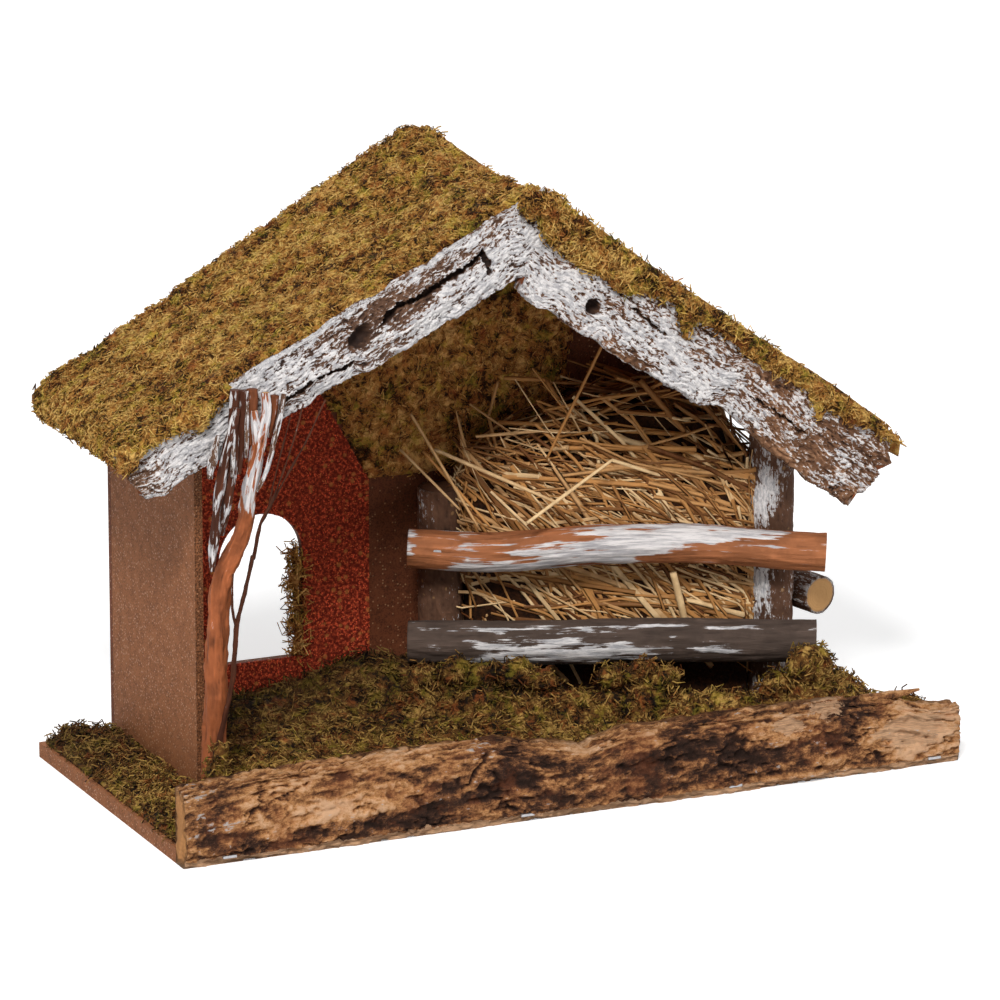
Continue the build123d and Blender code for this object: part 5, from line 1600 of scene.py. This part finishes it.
class STABLE_OT_roof_moss(bpy.types.Operator):
    """Cover both roof boards with moss"""

    bl_idname = "stable.roof_moss"
    bl_label = "Roof moss"
    bl_options = UNDOABLE

    def execute(self, context):
        sizes, colours = chosen(context)
        moss = made_material("roof_strands", moss_material, colours, ROOF_MOSS)
        (eave, front, _), (ridge_x, back, _) = node_box("left_roof_moss")
        (board_eave, _, _), (_, _, ridge_z) = node_box("left_roof_board")
        (_, face, _), (far, _, _) = node_box("right_roof_moss")
        fascia_back = node_box("right_fascia_bark")[1][1]
        long, short = sizes.roof_strand, 0.8 * sizes.roof_strand

        def trimmed(place, thick, spare):
            """How strands that rise far above a slope, or reach past its back, are pressed in."""
            def trim(points):
                x, y, z = points.T.copy()
                top = place(x, y, thick(x, y) + spare)[:, 2]
                points[:, 2] = np.where(z > top, top + 0.2 * (z - top), z)
                points[:, 1] = np.minimum(y, back + 0.6)
                return points
            return trim

        def softness(inward, gap):
            """Fade towards the mat's edges, apart from the ridge."""
            return np.maximum(steps(gap, 0, 6), 1 - steps(inward, 0, 14))

        def wear(x, y):
            """What the moss lacks at the front of the ridge."""
            return RIDGE_WEAR * mound(x, ridge_x, 13) * steps(y, 62, 30)

        def left_place(x, y, rise):
            droop = np.where(x < board_eave, (board_eave - x) * 0.6, 0)
            return stacked(x, y, ridge_z - (ridge_x - x) * LEFT_SLOPE + rise - droop)

        def left_thick(x, y):
            thick = LEFT_MOSS_EAVE + (LEFT_MOSS_RIDGE - LEFT_MOSS_EAVE) * steps(x, eave, ridge_x)
            thick = thick - wear(x, y)
            thick = thick + np.maximum(LEFT_FASCIA_RISE - thick, 0) * steps(y, front + 20, front + 2)
            swell = np.clip((x - eave - 28) / 115, 0, 1) * steps(ridge_x - x, 0, 13)
            return thick + BACK_SWELL * swell * steps(y, 20, 64)

        def left_height(x, y, gap):
            lumps = mat_lumps(x, y, 0, 3, (4, 7), (3.2, 2.2), middle=0.5)
            rise = (left_thick(x, y) + lumps) * (0.25 + 0.75 * softness(ridge_x - x, gap))
            return UNDERSIDE, np.maximum(0.4, rise)

        outline = [
            (ridge_x, front), (ridge_x, back), (eave + 9, back), (eave + 2.5, back - 3), (eave, back - 10),
            (eave, front),
        ]
        shell = Shell()
        mat_shell(shell, wavy(outline, 6, 0.8, 5), [], 1.05, left_height, left_place)
        trim = trimmed(left_place, left_thick, 1.5)
        mat = "left_roof_moss_mat", "roof_moss", ["left_roof_moss"], moss, long, 0.4, 2
        moss_piece(shell, *mat, sizes, bend=trim)
        curls = "left_roof_moss_curls", "roof_moss", [], moss, short, 0.4, 22
        moss_piece(shell, *curls, sizes, ground=False, bend=trim)

        def right_place(x, y, rise):
            return stacked(x, y, ridge_z - (x - ridge_x) * RIGHT_SLOPE + rise)

        def right_thick(x, y):
            sag = 2.2 * mound(x, 42, 32) - 1.5 * steps(x, 95, 122)
            return RIGHT_MOSS_RISE - wear(x, y) - sag - 0.5 * steps(y, face + 14, face)

        def right_height(x, y, gap):
            lumps = mat_lumps(x, y, 40, 4, (3.4, 7), (2.6, 2.2), middle=0.5)
            under = np.where(y < fascia_back + 0.5, RIGHT_FASCIA_RISE + 0.2, UNDERSIDE)
            rise = (right_thick(x, y) + lumps) * (0.35 + 0.65 * softness(x - ridge_x, gap))
            return under, np.maximum(under + 0.5, rise)

        outline = [(ridge_x, face), (far, face), (far, back), (ridge_x, back)]
        shell = Shell()
        mat_shell(shell, wavy(outline, 6, 0.8, 8), [], 1.25, right_height, right_place)
        mat = "right_roof_moss_mat", "roof_moss", ["right_roof_moss"], moss, long, 0.35, 3
        moss_piece(shell, *mat, sizes, bend=trimmed(right_place, right_thick, 0.8))

        shell = Shell()
        fringe(shell, LEFT_SLOPE, ridge_x, ridge_z + LEFT_FASCIA_RISE, LEFT_FRINGE, 70)
        fringe(shell, RIGHT_SLOPE, ridge_x, ridge_z + RIGHT_FASCIA_RISE, RIGHT_FRINGE, 80)
        for number, x in enumerate(np.arange(eave - 2, eave + 36, 3.5)):
            top = ridge_z + LEFT_FASCIA_RISE - (ridge_x - x) * LEFT_SLOPE
            lump_shell(shell, (x, front - 2.6, top - 0.3), (3.4, 4.2, 1.7), 150 + number)
        for number, spot in enumerate(RIDGE_LUMPS):
            lump_shell(shell, spot, (3.6, 2.6, 4.2), 170 + number)
        rim = left_place(eave, 0, 0)[2]
        for number, y in enumerate(np.arange(front + 3, back - 10, 6)):
            lump_shell(shell, (eave + 3.5, y, rim + 0.6), (3.2, 5, 3), 130 + number)
        moss_piece(shell, "roof_moss_fringe", "roof_moss", [], moss, long, 0.5, 4, sizes)
        return {"FINISHED"}


# Clumps on the floor moss: place, height above the base and half sizes
FLOOR_CLUMPS = (
    (60, -46, 4.5, 8, 6.4, 5.6), (128, -34, 5, 9, 7.2, 6.3), (20, -52, 4.5, 8, 6.4, 5.6),
    (-60, -50, 4.5, 8, 6.4, 5.6), (-100, -50, 4.5, 7, 5.6, 5), (-30, 30, 4.5, 8, 6.4, 5.6),
    (99, -33, 7, 10, 6, 8), (109, -38, 13, 9, 5, 9), (108, -38, 25, 9, 4.5, 8), (117, -40, 8, 9, 6, 8),
    (98, -32, 16, 7, 4, 7), (43, -8, 8, 9, 5, 8), (54, -13, 10, 9, 5, 9), (62, -16, 6, 8, 5, 7),
    (-15, 24, 8, 9, 6, 8), (0, 16, 9, 10, 6, 8), (14, 9, 7, 9, 6, 7), (28, 2, 6, 8, 5, 7),
    (44, -5.5, 20, 6, 3, 4.5), (54, -10.5, 22, 7, 3, 4.5), (62, -14, 20, 6, 3, 4.5),
    (-16, 26.5, 18, 7, 3.5, 5), (-6, 21.5, 21, 7, 3.5, 5), (4, 16.5, 20, 7, 3.5, 5),
    (14, 11.5, 21, 7, 3.5, 4.5), (22, 7.5, 18, 6, 3.5, 4), (-121, -29.5, 5, 5, 4, 5),
    (-119.8, -29.5, 12, 3.6, 3, 5), (-118.5, -29.5, 19, 2.6, 2.4, 4),
)
# Foot of the trunk in the floor moss: place and radius
TRUNK_HOLE = (-117.4, -21.5, 4.7)


class STABLE_OT_floor_moss(bpy.types.Operator):
    """Cover the floor and the strips beside the walls with moss"""

    bl_idname = "stable.floor_moss"
    bl_label = "Floor moss"
    bl_options = UNDOABLE

    def execute(self, context):
        sizes, colours = chosen(context)
        # The floor moss darkens towards the back as painted shade
        moss = made_material("floor_strands", moss_material, colours, FLOOR_MOSS, inside=0.5)
        base_top = node_box("base_board")[1][2]
        low, high = node_box("floor_moss")
        (left_x, left_y), along, ahead, reach, _ = fence_axes()
        right_x, right_y = np.array([left_x, left_y]) + along * reach
        wall = node_box("left_wall")[1][0] + 0.5
        back = high[1]
        long, short = sizes.floor_strand, 0.85 * sizes.floor_strand

        def floor_place(x, y, rise):
            return stacked(x, y, base_top + rise)

        def floor_height(x, y, gap):
            lumps = mat_lumps(x, y, 80, 6, (0.6, 9), (0.5, 3))
            before = (x - left_x) * ahead[0] + (y - left_y) * ahead[1]
            mounds = 8 * mound(before, 29, 7) * steps(x, -22, -8)
            mounds += 5 * mound(np.hypot(x - 112, (y + 28) * 1.3), 0, 16)
            mounds += 5 * mound(np.hypot(x + 18, (y - 28) * 1.2), 0, 16)
            mounds += 10 * mound(np.hypot((x + 24) / 30, (y - 54) / 18), 0, 1) + 5 * steps(y, 28, 50)
            return eased(2 + 6.5 * lumps + mounds, gap, 0.5)

        outline = [
            (wall, back), (left_x, back), (left_x, left_y), (right_x - 2, right_y),
            (right_x + 3, right_y - 12), (high[0], right_y - 11), (high[0], low[1]), (low[0], low[1]),
            (low[0], -18), (wall, -16),
        ]
        shell = Shell()
        mat_shell(shell, wavy(outline, 5, 0.5, 15), [TRUNK_HOLE], 1.5, floor_height, floor_place)
        for number, (x, y, z, *half) in enumerate(FLOOR_CLUMPS):
            lump_shell(shell, (x, y, base_top + z), half, 90 + number)
        mat = "floor_moss_mat", "floor_moss", ["floor_moss"], moss, long, 0.8, 5
        moss_piece(shell, *mat, sizes)
        curls = "floor_moss_curls", "floor_moss", [], moss, short, 0.7, 55
        moss_piece(shell, *curls, sizes, ground=False)

        def strip_height(x, y, gap):
            return eased(2 + 6 * mat_lumps(x, y, 120, 7, (0.7, 11), (0.3, 3.4)), gap, 0.5)

        left_edge = node_box("left_strip_moss")[0][0]
        strips = (
            ("left_strip_moss", left_edge, left_edge, 25),
            ("right_strip_moss", right_x + 12, right_x + 16, 35),
        )
        for name, front_edge, back_edge, seed in strips:
            low, high = node_box(name)
            outline = [(front_edge, low[1]), (high[0], low[1]), (high[0], high[1]), (back_edge, high[1])]
            shell = Shell()
            mat_shell(shell, wavy(outline, 5, 0.6, seed), [], 1.5, strip_height, floor_place)
            moss_piece(shell, name + "_mat", "floor_moss", [name], moss, long, 0.7, seed, sizes)
        return {"FINISHED"}


TUFT_LUMPS = 8


class STABLE_OT_wall_moss(bpy.types.Operator):
    """Cover the upper back wall and the arch's edge with moss"""

    bl_idname = "stable.wall_moss"
    bl_label = "Wall moss"
    bl_options = UNDOABLE

    def execute(self, context):
        sizes, colours = chosen(context)
        # A brighter copy of the roof moss, partly painted light for the shade under the roof
        moss = made_material("wall_strands", moss_material, colours, ROOF_MOSS, WALL_MOSS_TINT_AND_LIGHT)
        name = "back_wall_moss"
        low, high = node_box(name)
        outline = [
            node_corner(name, -1, -0.2)[::2], node_corner(name, -0.3, -1)[::2], (31.5, low[2]),
            (high[0], 110.6), (high[0], 165.5), (5, high[2]), (low[0], 182.6),
        ]

        def wall_place(x, z, out):
            return stacked(x, high[1] - out, z)

        def wall_height(x, z, gap):
            return eased(0.6 + 4.4 * mat_lumps(x, z, 160, 8, (1, 10)), gap, 0.4)

        shell = Shell()
        mat_shell(shell, wavy(outline, 5, 1.6, 45), [], 2.4, wall_height, wall_place)
        strand = sizes.roof_strand
        moss_piece(shell, "back_wall_moss_mat", "floor_moss", [name], moss, strand, 0.5, 7, sizes)

        low, high = node_box("arch_edge_moss")
        middle = (low + high) / 2
        shell = Shell()
        for number, share in enumerate(np.linspace(0.06, 0.94, TUFT_LUMPS)):
            z = low[2] + share * (high[2] - low[2])
            shift = 0.9 * math.sin(number * 2.3)
            wide = 1.5 + 0.7 * math.sin(number * 4.1)
            lump_shell(shell, (middle[0] + 0.8 + shift, middle[1], z), (wide, 1.8, 3), 110 + number)
        tuft = "arch_edge_tuft", "floor_moss", ["arch_edge_moss"], moss, 1.3 * sizes.floor_strand
        moss_piece(shell, *tuft, 1.2, 9, sizes)
        return {"FINISHED"}


# Stalks that stand out of the heap: half width, tone, and stations
LONG_STALKS = (
    (0.55, 0.75, (-17.2, 35, 121), (5.1, 25, 78.3)),
    (0.55, 0.6, (-11.1, 38, 105.7), (8.2, 22, 79.2)),
    (0.5, 0.8, (-19.2, 40, 106.7), (0, 30, 84.4)),
    (0.8, 0.45, (26.3, 50, 126.1), (40.9, 45, 125), (53.6, 25, 96.5)),
    (0.55, 0.4, (47.3, 10, 145.9), (32, 25, 101)),
    (0.6, 0.5, (37.5, 40, 115), (58.9, 20, 123.7)),
    (0.6, 0.7, (26.3, 55, 123.8), (21.1, 52, 111.7), (21.2, 35, 87.1)),
    (0.7, 0.85, (-6.6, 38, 105.8), (33.6, 18, 86)),
    (0.5, 0.6, (8.6, 52, 106.1), (19.9, 48, 96.4)),
    (0.5, 0.5, (11.4, 45, 103), (6.4, 40, 87.9)),
    (1.1, 0.25, (66.9, 20, 128.1), (80.3, 10, 109.6)),
    (0.6, 0.6, (50.9, 20, 123.1), (79, 20, 123.1)),
    (0.6, 0.8, (83.1, 20, 111.4), (96.4, 10, 115)),
    (0.7, 0.95, (83.5, 10, 108.9), (95.6, 6, 73.8)),
    (0.65, 0.95, (17.4, 10, 82.6), (51.1, 10, 102.3), (73.6, 10, 93.1), (77.6, 8, 74.7)),
    (0.7, 0.3, (80.1, 10, 82.5), (98.3, 10, 88)),
    (1.3, 0.95, (71.1, 0, 60.4), (76.8, 0, 38.8)),
    (0.5, 0.05, (87, 5, 113), (103, 5, 109)),
    (0.5, 0.1, (89, 5, 105), (104, 5, 104)),
    (0.45, 0.05, (96, 5, 116), (98, 5, 100)),
)
STRAW_DENSITY = 86000.0
STRAW_WAY = (0.78, -0.38, -0.42)
STRAW_SPREAD = 0.6


class STABLE_OT_straw(bpy.types.Operator):
    """Fill the pen with straw"""

    bl_idname = "stable.straw"
    bl_label = "Straw heap"
    bl_options = UNDOABLE

    def execute(self, context):
        sizes, colours = chosen(context)
        straw = made_material("straw_stalk", straw_material, colours)
        filling = made_material("straw_depth", dark_filling_material, colours)
        low = node_box("straw_heap")[0]
        wall = node_box("back_wall")[0][1]
        outer = node_box("right_corner_post")[0][0]
        left, along, ahead, _, post_radius = fence_axes()

        def grow(spot):
            """Thin on top and at the left between the rails, none low down or at the wall."""
            if spot.y > wall - 5 or spot.z < low[2] + 36:
                return 0
            return (0.35 if spot.z > 98 else 1) * (0.35 if spot.x < 26 and spot.z < 66 else 1)

        def kept_in(points):
            """Presses the stalks in before the wall, beside the right post and behind the rails."""
            x, y = points[:, 0].copy(), np.minimum(points[:, 1], wall - 1)
            edge = np.interp(y, (2, 9), (outer - 2.5, outer + 11.8))
            points[:, 0] = np.where(x > edge, edge + 0.05 * (x - edge), x)
            points[:, 1] = y
            plan = points[:, :2] - left
            plan -= np.outer(0.95 * np.maximum(plan @ ahead - post_radius + 3, 0), ahead)
            plan += np.outer(0.8 * np.maximum(post_radius - plan @ along, 0), along)
            points[:, :2] = plan + left
            x, y, z = points.T.copy()
            bare = x - 0.494 * y > 90.5
            points[:, 2] = np.where(bare, np.minimum(z, 103 - 0.3 * y), z)
            return points

        piece = merged_copy("straw_heap", "straw_heap_stalks", filling, grow, cuts=7)
        values = {
            "Density": STRAW_DENSITY, "Length": sizes.stalk_length, "Radius": sizes.stalk_radius,
            "Main way": STRAW_WAY, "Spread": STRAW_SPREAD, "Ground": True, "Seed": 6, "Material": straw,
        }
        grow_on(piece, straw_stalks, values, kept_in)
        finish_piece(piece, "straw", "straw_heap")
        shell = Shell()
        for radius, shade, *stations in LONG_STALKS:
            for ends in zip(stations, stations[1:]):
                rings, grain = stick_rings(ends, [radius, 1.1 * radius, 0.8 * radius], 2, 7, BACKWARD)
                plain = np.ones(rings.shape[:2])
                marks = {"tone": shade * plain}
                skin_shell(shell, rings, grain, RELIEF_LEVEL * plain, 0, marks, cap_rows=1)
        finish_piece(shell.piece("long_straw_stalks", straw), "straw")
        return {"FINISHED"}


class STABLE_OT_fasteners(bpy.types.Operator):
    """Give the staples and nails their steel"""

    bl_idname = "stable.fasteners"
    bl_label = "Staples and nails"
    bl_options = UNDOABLE

    def execute(self, context):
        colours = context.scene.stable_colours
        steel = made_material("bright_steel", steel_material, colours)
        dress_nodes(steel, "slab_staples", "base_staples", "wall_staples", "roof_staples")
        dress_nodes(steel, "rail_nails", "side_rail_nails", "post_nails")
        return {"FINISHED"}


CAMERA_PLACE = (-0.9908, -2.2006, 0.7660)
CAMERA_TARGET = (0, -0.0050, 0.0970)
CAMERA_LENS = 252.5
# Lamps: name, place, width and power
LAMPS = (
    ("key_light", (-1.1, -1.7, 1.9), 0.65, 60),
    ("fill_light", (1.6, -1.5, 1), 1.2, 13),
    ("back_light", (0.4, 1.8, 1.5), 1.4, 16),
)
LAMP_TARGET = (0, 0, 0.09)
FLOOR_HALF = 6
FLOOR_GLOW = 0.42
WORLD_LIGHT = 0.24
FULL_WHITE = (1, 1, 1)


def aim_at(scene, name, data, place, target):
    """A lamp or camera at a place that looks at a target."""
    made = bpy.data.objects.new(name, data)
    made.location = place
    made.rotation_euler = (Vector(target) - Vector(place)).to_track_quat("-Z", "Y").to_euler()
    scene.collection.objects.link(made)
    return made


def seen(web):
    """One where the background is seen directly or in a reflection."""
    path = web.add("ShaderNodeLightPath").outputs
    direct = web.math("MAXIMUM", path["Is Camera Ray"], path["Is Glossy Ray"])
    return web.math("MAXIMUM", direct, path["Is Transmission Ray"])


def floor_material(colours):
    """White floor that keeps the shadow."""
    web = Finish("stage_floor", 1)
    white = colours.floor_white
    web.feed(web.shader["Emission Color"], FULL_WHITE)
    web.feed(web.shader["Emission Strength"], web.times(seen(web), FLOOR_GLOW))
    return web.coat(web.mix(web.noise(web.place(), 4, 2), white, scaled(white, 0.98)))


def world(scene):
    """Even white surroundings, softer as light than to the eye."""
    scene.world = bpy.data.worlds.new("studio")
    scene.world.use_nodes = True
    web = Web(scene.world.node_tree)
    ground = web.tree.nodes["Background"].inputs
    web.feed(ground["Color"], FULL_WHITE)
    web.feed(ground["Strength"], web.span(seen(web), 0, 1, WORLD_LIGHT, 1))


class STABLE_OT_stage(bpy.types.Operator):
    """Set up the floor, the light and the camera"""

    bl_idname = "stable.stage"
    bl_label = "Stage"
    bl_options = UNDOABLE

    def execute(self, context):
        scene = context.scene
        scene.view_settings.view_transform = "Standard"
        mesh = bpy.data.meshes.new("stage_floor")
        signs = ((-1, -1), (1, -1), (1, 1), (-1, 1))
        mesh.from_pydata([(x * FLOOR_HALF, y * FLOOR_HALF, 0) for x, y in signs], [], [(0, 1, 2, 3)])
        mesh.materials.append(floor_material(scene.stable_colours))
        floor = bpy.data.objects.new("stage_floor", mesh)
        scene.collection.objects.link(floor)
        world(scene)
        for name, place, size, power in LAMPS:
            data = bpy.data.lights.new(name, "AREA")
            data.shape = "DISK"
            data.size = size
            data.energy = power
            aim_at(scene, name, data, place, LAMP_TARGET)
        data = bpy.data.cameras.new("photo_camera")
        data.lens = CAMERA_LENS
        scene.camera = aim_at(scene, "photo_camera", data, CAMERA_PLACE, CAMERA_TARGET)
        return {"FINISHED"}


class STABLE_PT_panel(bpy.types.Panel):
    """Sidebar panel that lists the steps of the dressing"""

    bl_idname = "STABLE_PT_panel"
    bl_label = "Nativity stable"
    bl_space_type = "VIEW_3D"
    bl_region_type = "UI"
    bl_category = "Stable"

    def draw(self, context):
        """One button for each step, then the sizes and colours."""
        for operator in OPERATORS:
            self.layout.operator(operator.bl_idname)
        for group in (context.scene.stable_sizes, context.scene.stable_colours):
            for label in group.__annotations__:
                self.layout.prop(group, label)


OPERATORS = (
    STABLE_OT_stage,
    STABLE_OT_boards,
    STABLE_OT_red_sheet,
    STABLE_OT_front_slab,
    STABLE_OT_fascias,
    STABLE_OT_fence,
    STABLE_OT_tree,
    STABLE_OT_roof_moss,
    STABLE_OT_floor_moss,
    STABLE_OT_wall_moss,
    STABLE_OT_straw,
    STABLE_OT_fasteners,
)
CLASSES = (StableSizes, StableColours, *OPERATORS, STABLE_PT_panel)


def register():
    """Adds the classes and the scene's settings."""
    for item in CLASSES:
        bpy.utils.register_class(item)
    bpy.types.Scene.stable_sizes = PointerProperty(type=StableSizes)
    bpy.types.Scene.stable_colours = PointerProperty(type=StableColours)


def unregister():
    """Takes the classes and the scene's settings away."""
    del bpy.types.Scene.stable_colours
    del bpy.types.Scene.stable_sizes
    for item in reversed(CLASSES):
        bpy.utils.unregister_class(item)


def main():
    """Runs every step in order."""
    register()
    for operator in OPERATORS:
        step = operator.bl_idname.split(".")[1]
        getattr(bpy.ops.stable, step)()
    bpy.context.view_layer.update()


if __name__ == "__main__":
    main()
